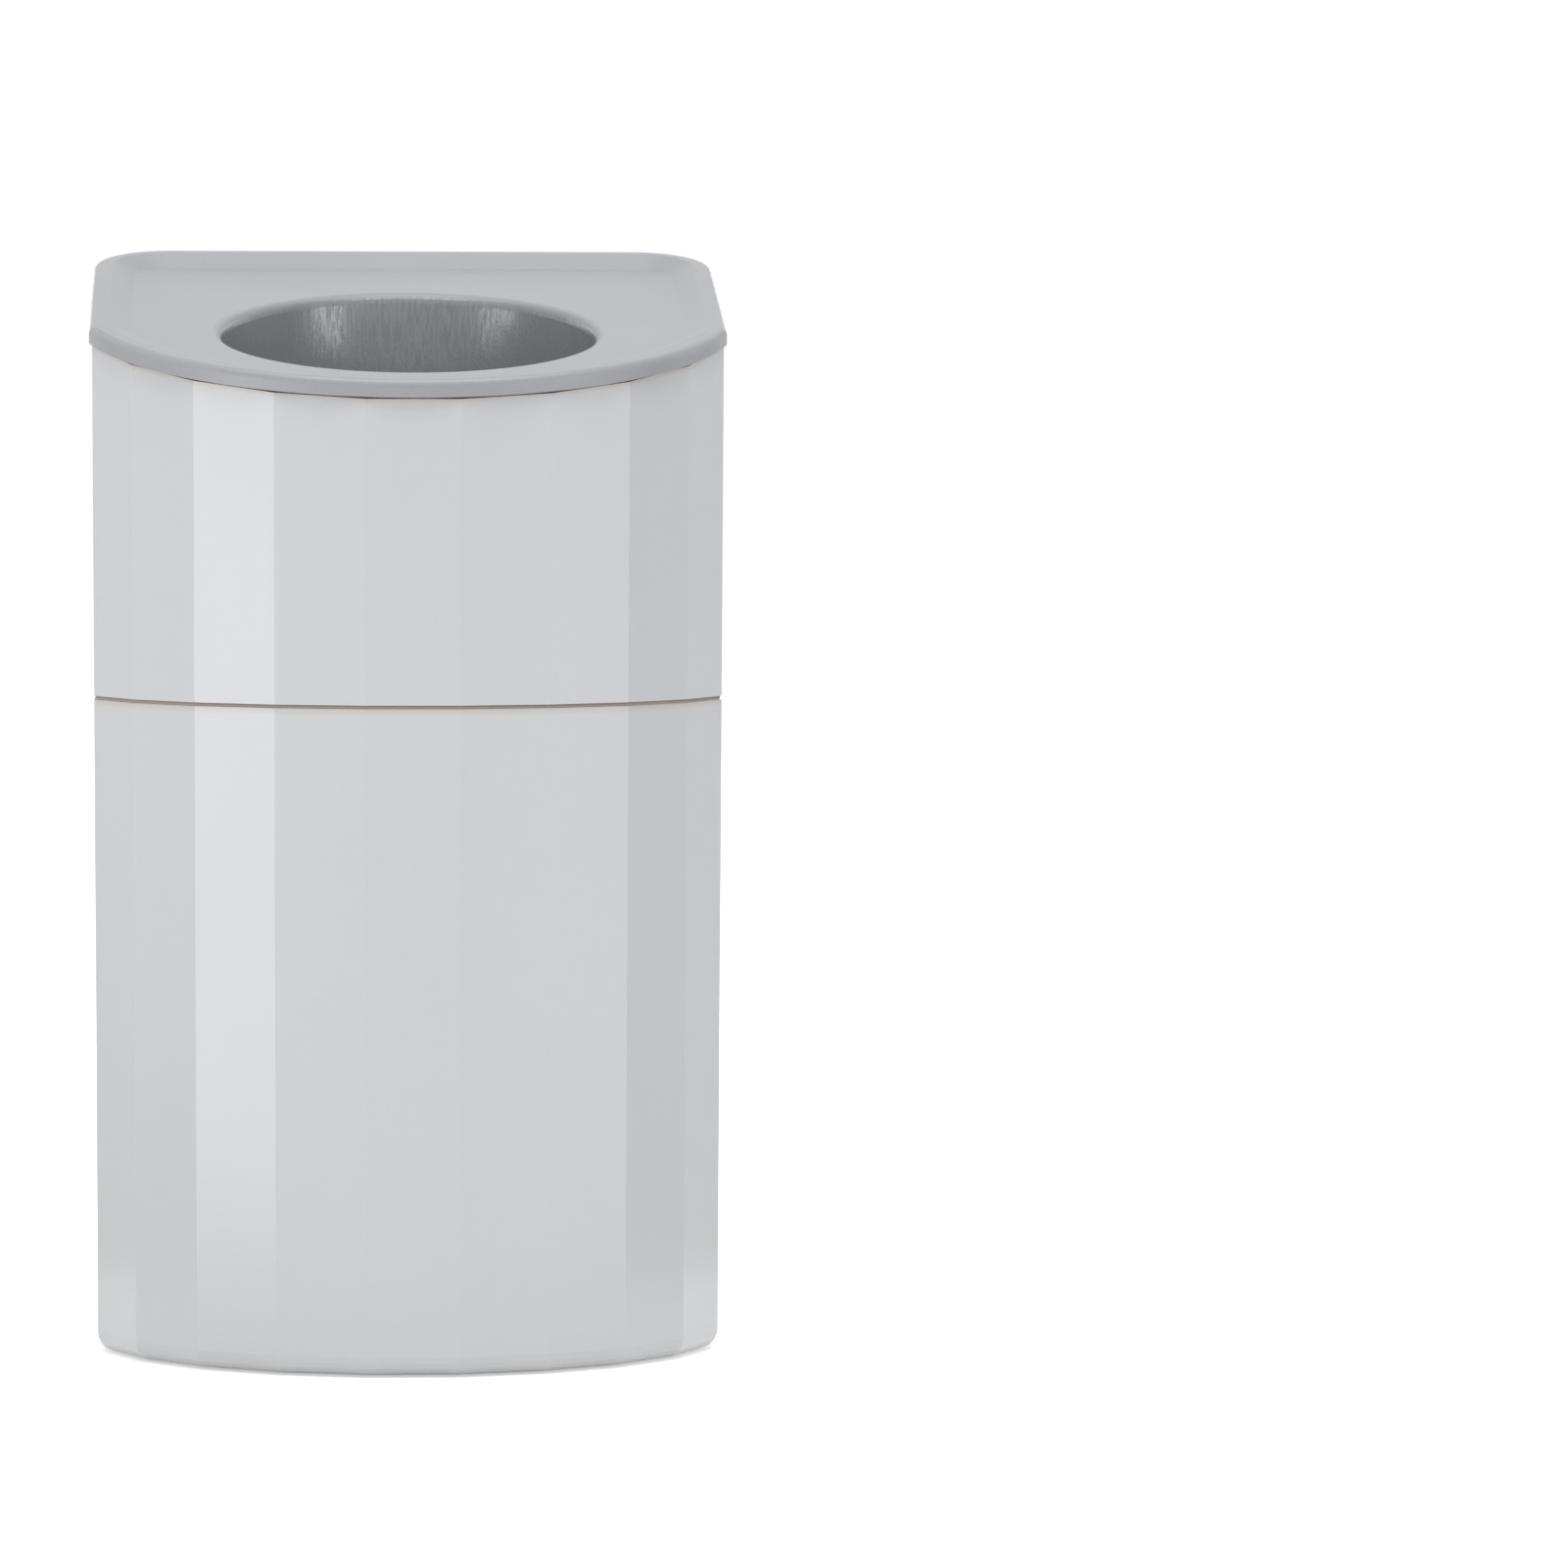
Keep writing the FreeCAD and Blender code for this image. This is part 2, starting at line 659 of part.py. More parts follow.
def make_lid():
    """The sloped, dished lid with the tube well that hangs from it."""
    body = new_body("lid")
    well = new_sketch(body, "well_outside", level="well_low")
    circle(well, "0", "axis_y", "sleeve_radius")
    pad(body, "well_tube", well, "top_height + back_depth - well_low")
    plane = {"tilt": "slope"}
    trim = new_sketch(body, "well_trim", at=("arc_y", "lid_level + lid_edge / 4"), **plane)
    circle(trim, "0", "0", "2 * base_radius")
    pocket(body, "well_trim_cut", trim, "base_radius * 2", reverse=True)
    plate = new_sketch(body, "lid_plate", at=("arc_y", "lid_level"), **plane)
    lid_outline(plate)
    pad(body, "lid_plate_pad", plate, "lid_edge")
    round_edges(body, "lid_top_round", "lid_round", on_lid_plane("lid_edge"))
    tabs = new_sketch(body, "lid_tabs", at=("arc_y", "lid_level + lid_edge / 4"), **plane)
    side = "(lid_radius * sin(facet_sweep / 2) - lid_overhang - shell - tab_fit)"
    for sign in ("", "-"):
        polygon(tabs, [(f"{sign}({x})", y) for x, y in (
            (f"{side} - tab_wall", "0"),
            (side, "0"),
            (side, "tab_width"),
            (f"{side} - tab_wall", "tab_width"))])
    behind = "(back_depth - shell - tab_fit - (tab_depth + lid_edge / 4) * sin(slope)) / cos(slope)"
    rectangle(tabs, "-tab_width", "tab_width", f"{behind} - tab_wall", behind)
    pad(body, "lid_tab_pad", tabs, "tab_depth + lid_edge / 4", reverse=True)
    dish_top = new_sketch(body, "dish_top", at=("arc_y", "lid_level + lid_edge / cos(slope)"), **plane)
    lid_outline(dish_top, "rim_front", "rim_side")
    floor_level = "lid_level + (lid_edge - dish_back + back_depth * tan(dish_tilt)) / cos(slope)"
    dish_floor = new_sketch(body, "dish_floor", tilt="slope - dish_tilt", at=("arc_y", floor_level))
    lid_outline(dish_floor, "rim_front + dish_front_run", "rim_side + dish_side_run")
    loft(body, "lid_dish", dish_top, dish_floor, cut=True)
    bore = new_sketch(body, "well_bore")
    circle(bore, "0", "axis_y", "well_radius")
    pocket(body, "well_bore_cut", bore)
    radius = value("well_radius")
    centre = value("axis_y")
    half_way = value("(lid_level + well_low) / 2")

    def lip(edge):
        points = edge.discretize(7)
        on_bore = all(abs(math.hypot(point.x, point.y - centre) - radius) < 0.01 for point in points)
        return on_bore and min(point.z for point in points) > half_way
    round_edges(body, "well_lip_round", "lip_round", lip)
    return body


def screw_places(centre="0"):
    """Gives the places of the pump's screws about a centre line."""
    places = []
    for index in range(PUMP_SCREWS):
        angle = f"({360 * (index + 0.5) / PUMP_SCREWS})"
        places.append((f"screw_circle * cos{angle}", f"{centre} + screw_circle * sin{angle}"))
    return places


def make_tube_seat():
    """The funnel under the well, with the neck socket and the bosses for the screws."""
    body = turned("tube_seat", [
        ("socket_port", "socket_low"),
        ("socket_outer", "socket_low"),
        ("socket_outer", "deck_top + gasket_flange"),
        ("rim_inner", "deck_top + gasket_flange + cone_rise"),
        ("rim_inner", "deck_top"),
        ("seat_radius", "deck_top"),
        ("seat_radius", "deck_top + seat_plate"),
        ("rim_radius", "deck_top + seat_plate"),
        ("rim_radius", "deck_top + seat_rim"),
        ("rim_inner", "deck_top + seat_rim"),
        ("rim_inner", "cone_low + cone_rise"),
        ("gasket_seat", "cone_low"),
        ("gasket_seat", "cone_low - gasket_flange"),
        ("socket_radius", "cone_low - gasket_flange"),
        ("socket_radius", "socket_low + socket_floor"),
        ("socket_port", "socket_low + socket_floor")])
    bosses = new_sketch(body, "seat_bosses", level="deck_top")
    holes = new_sketch(body, "seat_boss_holes", level="deck_top")
    for place in screw_places():
        circle(bosses, *place, "boss_radius")
        circle(holes, *place, "screw_radius + seat_touch")
    pad(body, "seat_boss_pad", bosses, "boss_height")
    pocket(body, "seat_boss_cut", holes, "boss_height - boss_roof", reverse=True)
    return body


def make_neck_gasket():
    """The soft collar that grips the neck of an upturned tube."""
    low = "socket_low + socket_floor + seat_touch"
    return turned("neck_gasket", [
        ("gasket_bore", low),
        ("socket_radius - seat_touch", low),
        ("socket_radius - seat_touch", "cone_low - gasket_flange"),
        ("gasket_seat - seat_touch", "cone_low - gasket_flange"),
        ("gasket_seat - seat_touch", "cone_low"),
        ("gasket_bore + gasket_bevel", "cone_low"),
        ("gasket_bore", "cone_low - gasket_bevel")])


def make_cylinder_seal():
    """The ring between the tube seat's socket and the cylinder."""
    ring = doc.addObject("Part::Torus", "cylinder_seal")
    ring.Label = "cylinder_seal"
    ring.setExpression("Radius1", formula("socket_outer - 2 * seal_section"))
    ring.setExpression("Radius2", formula("seal_section"))
    ring.setExpression("Placement.Base.y", formula("axis_y"))
    ring.setExpression("Placement.Base.z", formula("recess_low + seat_touch + seal_section"))
    return ring


def make_pump_cylinder():
    """The cylinder under the deck: flange, socket recess, ported partition and chamber."""
    body = turned("pump_cylinder", [
        ("valve_stem + seat_touch", "chamber_top"),
        ("valve_stem + seat_touch", "recess_low"),
        ("socket_outer + seat_fit", "recess_low"),
        ("socket_outer + seat_fit", "deck_low"),
        ("cylinder_flange", "deck_low"),
        ("cylinder_flange", "deck_low - flange_wall"),
        ("cylinder_outer", "deck_low - flange_wall"),
        ("cylinder_outer", "cylinder_low"),
        ("cylinder_bore", "cylinder_low"),
        ("cylinder_bore", "chamber_top")])
    ports = new_sketch(body, "inlet_ports", level="recess_low")
    for index in range(INLET_PORTS):
        angle = f"({360 * index / INLET_PORTS})"
        circle(ports, f"port_circle * cos{angle}", f"port_circle * sin{angle}", "port_radius")
    pocket(body, "inlet_port_cut", ports, "partition * 1.5")
    holes = new_sketch(body, "flange_holes", level="deck_low")
    for place in screw_places():
        circle(holes, *place, "screw_radius + screw_fit")
    pocket(body, "flange_hole_cut", holes, "flange_wall * 1.5")
    return body


def make_inlet_valve():
    """The umbrella valve: flap under the partition, stem through it, bulb above."""
    flap = "chamber_top - seat_touch"
    bulb = "recess_low + seat_touch"
    return turned("inlet_valve", [
        ("0", f"{flap} - flap_thickness"),
        ("valve_flap - flap_thickness", f"{flap} - flap_thickness"),
        ("valve_flap", flap),
        ("valve_stem", flap),
        ("valve_stem", bulb),
        ("valve_bulb", bulb),
        ("valve_stem / 2", f"{bulb} + valve_stem"),
        ("0", f"{bulb} + valve_stem")])


def make_cylinder_cap():
    """The fluted cap under the cylinder, with the stem's guide and the wiper's groove."""
    inner = "cylinder_outer + cap_fit"
    outer = f"{inner} + cap_wall"
    groove = "guide_bore + wiper_width"
    body = turned("cylinder_cap", [
        ("guide_bore", "cap_low - cap_nose"),
        ("nose_outer", "cap_low - cap_nose"),
        ("nose_outer", "cap_low"),
        (outer, "cap_low"),
        (outer, "cylinder_low + cap_skirt"),
        (inner, "cylinder_low + cap_skirt"),
        (inner, "cylinder_low"),
        ("guide_outer", "cylinder_low"),
        ("guide_outer", "guide_top"),
        ("guide_bore", "guide_top"),
        ("guide_bore", "wiper_low + wiper_height"),
        (groove, "wiper_low + wiper_height"),
        (groove, "wiper_low"),
        ("guide_bore", "wiper_low")])
    flutes = new_sketch(body, "cap_flutes", level="cylinder_low + cap_skirt")
    reach = f"({outer} + flute_radius - flute_depth)"
    for index in range(CAP_FLUTES):
        angle = f"({360 * index / CAP_FLUTES})"
        circle(flutes, f"{reach} * cos{angle}", f"{reach} * sin{angle}", "flute_radius")
    pocket(body, "cap_flute_cut", flutes, "cap_skirt + cap_floor * 2")
    return body


def make_stem_seal():
    """The wiper ring in the guide."""
    outer = "guide_bore + wiper_width - seat_touch"
    return turned("stem_seal", [
        ("guide_bore", "wiper_low + seat_touch"),
        (outer, "wiper_low + seat_touch"),
        (outer, "wiper_low + wiper_height - seat_touch"),
        ("guide_bore", "wiper_low + wiper_height - seat_touch")])


def make_pump_screws():
    """The screws that draw the cylinder and the tube seat together on the deck."""
    screws = []
    for index, (x, y) in enumerate(screw_places("axis_y")):
        head = doc.addObject("Part::Cylinder", f"screw_head_{index}")
        head.setExpression("Radius", formula("screw_head"))
        head.setExpression("Height", formula("screw_head_height"))
        shank = doc.addObject("Part::Cylinder", f"screw_shank_{index}")
        shank.setExpression("Radius", formula("screw_radius"))
        shank.setExpression("Height", formula("screw_length + screw_head_height"))
        for piece in (head, shank):
            piece.setExpression("Placement.Base.x", formula(x))
            piece.setExpression("Placement.Base.y", formula(y))
            piece.setExpression("Placement.Base.z", formula("head_low"))
        screw = doc.addObject("Part::Fuse", f"screw_{index}")
        screw.Base = head
        screw.Tool = shank
        screws.append(screw)
    group = doc.addObject("Part::Compound", "pump_screws")
    group.Label = "pump_screws"
    group.Links = screws
    doc.recompute()
    return group


def make_piston_stem():
    """The hollow stem that carries the piston and leads the paste down."""
    return turned("piston_stem", [
        ("stem_bore", "stem_low"),
        ("stem_radius", "stem_low"),
        ("stem_radius", "piston_low"),
        ("stem_spigot", "piston_low"),
        ("stem_spigot", "core_top - seat_touch"),
        ("stem_bore", "core_top - seat_touch")])


def make_piston():
    """The piston, a spool on the stem's spigot with a land for its seal."""
    bore = "stem_spigot + seat_touch"
    crown = "cylinder_bore - crown_slack"
    return turned("piston", [
        (bore, "piston_low"),
        ("cylinder_bore - piston_slack", "piston_low"),
        ("cylinder_bore - piston_slack", "core_low"),
        ("piston_land", "core_low"),
        ("piston_land", "core_top"),
        (crown, "core_top"),
        (f"{crown} - crown_bevel", "piston_top"),
        ("stem_bore + crown_funnel", "piston_top"),
        ("stem_bore", "core_top + crown_bevel"),
        ("stem_bore", "core_top"),
        (bore, "core_top")])


def make_piston_seal():
    """The cup seal on the piston's land, open towards the chamber."""
    inner = "piston_land + seat_touch"
    outer = "cylinder_bore - run_fit"
    low = "core_low + seat_touch"
    high = "core_top - seat_touch"
    return turned("piston_seal", [
        (inner, low),
        (outer, low),
        (outer, high),
        (f"{outer} - seal_lip", high),
        (f"({inner} + {outer}) / 2", f"{low} + piston_core / 2"),
        (f"{inner} + seal_lip", high),
        (inner, high)])


def make_push_head():
    """The ribbed plate that the brush pushes: tray below, boss for the stem above."""
    body = new_body("push_head", y="axis_y")
    wide, long = "plate_width / 2", "plate_length / 2"
    plate = new_sketch(body, "plate", level="plate_low - tray_depth")
    rounded(plate, "0", "0", wide, long, "plate_corner")
    pad(body, "plate_pad", plate, "plate_thickness + tray_depth")
    tray = new_sketch(body, "tray", level="plate_low")
    rounded(tray, "0", "0", f"{wide} - tray_rim", f"{long} - tray_rim", "(plate_corner - tray_rim)")
    pocket(body, "tray_cut", tray, "tray_depth * 2")
    boss = new_sketch(body, "boss", level="plate_low + plate_thickness / 2")
    circle(boss, "0", "0", "boss_outer")
    pad(body, "boss_pad", boss, "boss_top - plate_low - plate_thickness / 2")
    for plane, half in (("XZ_Plane", wide), ("YZ_Plane", long)):
        rib = new_sketch(body, f"rib_{plane[:2]}", plane)
        polygon(rib, [
            (f"tray_rim - {half}", "plate_top - plate_thickness / 2"),
            (f"{half} - tray_rim", "plate_top - plate_thickness / 2"),
            (f"{half} - tray_rim", "plate_top + rib_wall"),
            ("boss_outer - rib_wall", "boss_top - collar_wall"),
            ("rib_wall - boss_outer", "boss_top - collar_wall"),
            (f"tray_rim - {half}", "plate_top + rib_wall")])
        feature = pad(body, f"rib_pad_{plane[:2]}", rib, "rib_wall")
        feature.SideType = "Symmetric"
        doc.recompute()
    for name, radius, top, depth in (
            ("stem_hole", "boss_bore", "boss_top", "boss_top - stem_low + seat_touch"),
            ("valve_hole", "valve_rim + seat_touch", "stem_low", "stem_low - valve_low + seat_touch"),
            ("nozzle_hole", "nozzle_spigot + seat_touch", "valve_low", "valve_low")):
        hole = new_sketch(body, name, level=top)
        circle(hole, "0", "0", radius)
        pocket(body, f"{name}_cut", hole, depth)
    return body


def make_outlet_valve():
    """The duckbill valve: flange under the stem, bill narrowing to an edge in the nozzle."""
    body = turned("outlet_valve", [
        ("0", "bill_low"),
        ("bill_radius", "bill_low"),
        ("bill_radius", "valve_low"),
        ("valve_rim", "valve_low"),
        ("valve_rim", "valve_low + valve_flange"),
        ("bill_bore", "valve_low + valve_flange"),
        ("bill_bore", "bill_low + bill_tip"),
        ("0", "bill_low + bill_tip")])
    flanks = new_sketch(body, "bill_flanks", "XZ_Plane")
    for sign in ("", "-"):
        polygon(flanks, [(f"{sign}({x})", z) for x, z in (
            ("bill_radius + bill_neck", "valve_low - bill_neck"),
            ("bill_edge / 2", "bill_low"),
            ("bill_edge / 2", "bill_low - bill_neck"),
            ("bill_radius + bill_neck", "bill_low - bill_neck"))])
    pocket(body, "bill_flank_cut", flanks)
    return body


def make_nozzle():
    """The tip under the plate that the paste leaves by."""
    low = "plate_low - nozzle_flange"
    return turned("nozzle", [
        ("nozzle_bore", low),
        ("nozzle_radius - nozzle_bevel", low),
        ("nozzle_radius", f"{low} + nozzle_bevel"),
        ("nozzle_radius", "plate_low"),
        ("nozzle_spigot", "plate_low"),
        ("nozzle_spigot", "valve_low - seat_touch"),
        ("nozzle_bore", "valve_low - seat_touch")])


def arcs_between(start, start_way, end, end_way):
    """Joins two points with two arcs that keep the directions at both ends."""
    chord = end - start
    ways = start_way + end_way
    bend = 2 * (1 - start_way.dot(end_way))
    slack = chord.dot(ways)
    leg = (math.sqrt(slack * slack + bend * chord.dot(chord)) - slack) / bend
    corners = (start + start_way * leg, end - end_way * leg)
    middle = (corners[0] + corners[1]) * 0.5
    arcs = []
    for first, corner, last in ((start, corners[0], middle), (middle, corners[1], end)):
        weight = (last - first).Length / (2 * leg)
        arcs.append(Part.Arc(first, (first + corner * (2 * weight) + last) * (1 / (2 + 2 * weight)), last))
    return arcs


def make_return_spring():
    """The spring round the stem: one wire, wound from the plunger's boss to the cap, with straight ends."""
    radius, wire, turns = value("coil_radius"), value("wire_radius"), int(value("coil_turns"))
    low = value("boss_top + wire_radius + spring_play")
    rise = value("cap_low - wire_radius - spring_play") - low
    steps = 2 * turns
    pitch = rise / (2 * math.pi * turns)
    places = []
    for step in range(steps + 1):
        angle = math.pi * step
        place = Vector(radius * math.cos(angle), radius * math.sin(angle), low + pitch * angle)
        way = Vector(-radius * math.sin(angle), radius * math.cos(angle), pitch).normalize()
        places.append((place, way))
    curves = []
    for (start, start_way), (end, end_way) in zip(places, places[1:]):
        curves += arcs_between(start, start_way, end, end_way)
    first, first_way = places[0]
    last, last_way = places[-1]
    tail = 2 * wire
    edges = [Part.LineSegment(first - first_way * tail, first).toShape()]
    edges += [curve.toShape() for curve in curves]
    edges.append(Part.LineSegment(last, last + last_way * tail).toShape())
    path = Part.Wire(edges)
    ring = Part.Wire([Part.Circle(first - first_way * tail, first_way, wire).toShape()])
    shell = Part.BRepOffsetAPI.MakePipeShell(path)
    shell.add(ring)
    shell.build()
    shell.makeSolid()
    spring = doc.addObject("Part::Feature", "return_spring")
    spring.Label = "return_spring"
    spring.Shape = shell.shape()
    spring.setExpression("Placement.Base.y", formula("axis_y"))
    points = [edge.valueAt(edge.FirstParameter + share * (edge.LastParameter - edge.FirstParameter))
              for edge in edges for share in (0, 0.25, 0.5, 0.75)]
    near = len(points) // (2 * turns)
    gaps = [(points[a] - points[b]).Length - 2 * wire
            for a in range(len(points)) for b in range(a + near, len(points))]
    print(f"return_spring: least gap to itself {min(gaps):.2f} mm, wire {path.Length:.0f} mm")
    return spring


def make_wall_hook():
    """The hook: square pad flush with the rails, wings behind the channel's lips, grooved neck above."""
    body = new_body("wall_hook")
    face = new_sketch(body, "hook_face", "XZ_Plane", "-rail_y - pad_proud")
    rounded(face, "0", "(pad_low + pad_top) / 2", "pad_half", "pad_height / 2", "pad_corner")
    pad(body, "hook_pad", face, "pad_proud + channel_wall + hook_fit")
    front = value("rail_y + pad_proud")

    def on_face(edge):
        return all(abs(vertex.Point.y - front) < 0.01 for vertex in edge.Vertexes)
    round_edges(body, "hook_face_round", "pad_round", on_face)
    wings = new_sketch(body, "hook_wings", "XZ_Plane", "-wing_y")
    rectangle(wings, "-wing_half", "wing_half", "pad_low + pad_corner", "pad_top")
    pad(body, "hook_wing_pad", wings, "wing_wall")
    neck = new_sketch(body, "hook_neck", "XZ_Plane", "-wing_y")
    rectangle(neck, "-neck_width / 2", "neck_width / 2", "pad_top - pad_corner", "neck_top")
    pad(body, "hook_neck_pad", neck, "wing_wall")
    tops = both_sides([("neck_width / 2", "neck_top")])
    round_edges(body, "hook_neck_round", "pad_corner", straight_along(1, tops))
    grooves = new_sketch(body, "hook_grooves", "XZ_Plane", "-wing_y")
    inner = "block_width / 2"
    for sign in ("", "-"):
        polygon(grooves, [(f"{sign}({x})", z) for x, z in (
            (inner, "pad_top"),
            (f"{inner} + groove_width", "pad_top"),
            (f"{inner} + groove_width", "neck_top + groove_width"),
            (inner, "neck_top + groove_width"))])
    pocket(body, "hook_groove_cut", grooves, "groove_depth", reverse=True)
    return body


def make_adhesive_sheet():
    """The clear sheet that is bonded to the hook's pad and sticks to the wall."""
    body = new_body("adhesive_sheet")
    film = new_sketch(body, "film", "XZ_Plane", "-rail_y - pad_proud - sheet_thickness")
    rounded(film, "0", "sheet_middle", "sheet_width / 2", "sheet_height / 2", "sheet_corner")
    pad(body, "film_pad", film, "sheet_thickness")
    return body


def main():
    """Builds every sub-part, checks it and writes it out."""
    fill_sheet()
    parts = [
        make_lower_casing(), make_upper_casing(), make_lid(), make_tube_seat(), make_neck_gasket(),
        make_cylinder_seal(), make_pump_cylinder(), make_inlet_valve(), make_cylinder_cap(), make_stem_seal(),
        make_pump_screws(), make_piston_stem(), make_piston(), make_piston_seal(), make_push_head(),
        make_outlet_valve(), make_nozzle(), make_return_spring(), make_wall_hook(), make_adhesive_sheet()]
    doc.recompute()
    for item in doc.Objects:
        if "Invalid" in item.State or "Error" in item.State:
            raise RuntimeError(f"{item.Name} failed: {item.State}")
    for part in parts:
        if part.Shape.isNull() or not part.Shape.isValid():
            raise RuntimeError(f"{part.Label} has no valid shape")
    os.makedirs("parts", exist_ok=True)
    for part in parts:
        part.Shape.exportStep(f"parts/{part.Label}.step")
        print(f"{part.Label}: {part.Shape.Volume:.0f} mm3 in {len(part.Shape.Solids)} solid")


main()
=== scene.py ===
# %% [markdown]
# # A wall-hung toothpaste dispenser
# The real thing is a small moulded pump: an upturned tube of paste stands in the round well of the lid,
# and a brush pushed up from below works the plunger. All its rigid shapes come from the CAD model, so
# the first step loads that model as a frame that is never moved. The alternative, modelling the casing
# again in Blender, would let the two drift apart.

# %% Loading the frame
import json
import math
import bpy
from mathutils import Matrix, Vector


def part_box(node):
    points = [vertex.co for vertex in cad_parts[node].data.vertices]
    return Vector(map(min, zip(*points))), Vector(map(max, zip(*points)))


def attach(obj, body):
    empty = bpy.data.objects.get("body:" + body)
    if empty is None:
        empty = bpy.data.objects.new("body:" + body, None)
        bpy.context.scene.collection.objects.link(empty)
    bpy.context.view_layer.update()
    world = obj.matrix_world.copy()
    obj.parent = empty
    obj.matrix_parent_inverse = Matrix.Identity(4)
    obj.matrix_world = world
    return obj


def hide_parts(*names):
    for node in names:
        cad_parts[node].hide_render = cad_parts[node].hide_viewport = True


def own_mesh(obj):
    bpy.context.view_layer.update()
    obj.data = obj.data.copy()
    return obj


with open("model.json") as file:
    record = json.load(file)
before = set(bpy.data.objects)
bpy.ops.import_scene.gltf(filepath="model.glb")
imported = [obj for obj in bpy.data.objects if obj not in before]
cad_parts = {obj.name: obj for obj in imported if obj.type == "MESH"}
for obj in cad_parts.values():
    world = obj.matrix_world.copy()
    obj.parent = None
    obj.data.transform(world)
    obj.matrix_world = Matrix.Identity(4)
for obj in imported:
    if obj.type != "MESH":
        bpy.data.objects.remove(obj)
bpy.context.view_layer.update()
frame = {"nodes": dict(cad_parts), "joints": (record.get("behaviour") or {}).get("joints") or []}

from types import SimpleNamespace

import bpy
from mathutils import Quaternion, Vector

scene = bpy.context.scene

# %% [markdown]
# The photograph looks at the facets from about a metre away, three degrees above level, through a long
# lens. A lens shift could slide the dispenser to the left of the picture, but every other view would
# keep that shift. So the camera stands where the photographer stood and is panned and tilted instead.

# %% Camera
PICTURE = 1601
FOCAL_PIXELS = 8396.7
MIDDLE_PIXEL = (415.3, 828.9)
DISTANCE = 0.9735
RISE = math.radians(3.2425)
TURN = math.radians(1.14)
SENSOR_MM = 36
FURTHEST_SEEN = 50

aim = Vector((0, 0.0004, 0.0625))
ahead = Vector((math.cos(RISE) * math.sin(TURN), math.cos(RISE) * math.cos(TURN), -math.sin(RISE)))
pan = math.atan((PICTURE / 2 - MIDDLE_PIXEL[0]) / FOCAL_PIXELS)
tilt = math.atan((MIDDLE_PIXEL[1] - PICTURE / 2) / FOCAL_PIXELS)
lens = bpy.data.cameras.new("studio_camera")
lens.sensor_width = SENSOR_MM
lens.lens = FOCAL_PIXELS * SENSOR_MM / PICTURE
lens.clip_end = FURTHEST_SEEN
camera = bpy.data.objects.new("studio_camera", lens)
scene.collection.objects.link(camera)
camera.location = aim - ahead * DISTANCE
camera.rotation_mode = "QUATERNION"
swing = Quaternion((0, 1, 0), -pan) @ Quaternion((1, 0, 0), tilt)
camera.rotation_quaternion = ahead.to_track_quat("-Z", "Y") @ swing
scene.camera = camera
scene.view_settings.view_transform = "Standard"
print(f"camera: {lens.lens:.0f} mm lens, panned {math.degrees(pan):.2f} degrees")

# %% [markdown]
# Materials are built from nodes, and each one needs the same few steps: make a node, set or join its
# inputs, do a sum with masks, mix two colours. A few short helpers keep the cells below readable. They
# hand on sockets, the dots that links join, so that one node's result can be the next one's input.


# %% Helpers for node trees
def feed(tree, value, socket):
    """Joins an output socket to an input socket, or sets the input to a number or a colour."""
    if isinstance(value, bpy.types.NodeSocket):
        tree.links.new(value, socket)
    else:
        socket.default_value = value


def place(tree, kind, values=None, **options):
    """Adds a shader node, sets its options and feeds its inputs."""
    node = tree.nodes.new("ShaderNode" + kind)
    for name, option in options.items():
        setattr(node, name, option)
    for socket, value in (values or {}).items():
        feed(tree, value, node.inputs[socket])
    return node


def maths(tree, operation, *values):
    """Adds a Math node for one sum or test and returns its result."""
    return place(tree, "Math", dict(enumerate(values)), operation=operation).outputs[0]


def remap(tree, value, before, after):
    """Moves a value from one range to another, held within it, and returns the result."""
    ranges = {"From Min": before[0], "From Max": before[1], "To Min": after[0], "To Max": after[1]}
    return place(tree, "MapRange", {"Value": value, **ranges}).outputs["Result"]


def mix_colours(tree, first, second, share):
    """Mixes two colours by a share from 0 to 1 and returns the result."""
    inputs = {"A": first, "B": second, "Factor": share}
    return place(tree, "Mix", inputs, data_type="RGBA").outputs["Result"]


def plain(name, colour, roughness, **sockets):
    """Starts a finish: a material, its node tree and the inputs of its own Principled shader."""
    material = bpy.data.materials.new(name)
    material.use_nodes = True
    inputs = material.node_tree.nodes["Principled BSDF"].inputs
    inputs["Base Color"].default_value = (*colour, 1)
    inputs["Roughness"].default_value = roughness
    for socket, value in sockets.items():
        inputs[socket.replace("_", " ")].default_value = value
    return SimpleNamespace(material=material, tree=material.node_tree, inputs=inputs)


print("helpers: feed, place, maths, remap, mix_colours, plain")

# %% [markdown]
# The studio is a white sweep. The world gives even light from all round at a plain level, and shows as
# white only to the camera, to reflections and through the clear film. A brighter world would do the
# same but flood the casing with light. The Light Path node tells these rays apart from the scattered
# ones, which carry the light.


# %% World
def seen_directly(tree):
    """Gives 1 for a ray from the camera, a reflection or a transmission, and 0 once it has scattered."""
    path = place(tree, "LightPath").outputs
    seen = maths(tree, "MAXIMUM", path["Is Camera Ray"], path["Is Glossy Ray"])
    seen = maths(tree, "MAXIMUM", seen, path["Is Transmission Ray"])
    unscattered = maths(tree, "LESS_THAN", path["Diffuse Depth"], 1)
    return maths(tree, "MULTIPLY", seen, unscattered)


AMBIENT = (0.525, 0.53, 0.535, 1)
WHITE = (1, 1, 1, 1)
world = bpy.data.worlds.new("white_sweep")
world.use_nodes = True
scene.world = world
sky = world.node_tree
backdrop = mix_colours(sky, AMBIENT, WHITE, seen_directly(sky))
feed(sky, backdrop, sky.nodes["Background"].inputs["Color"])
print("world:", world.name)

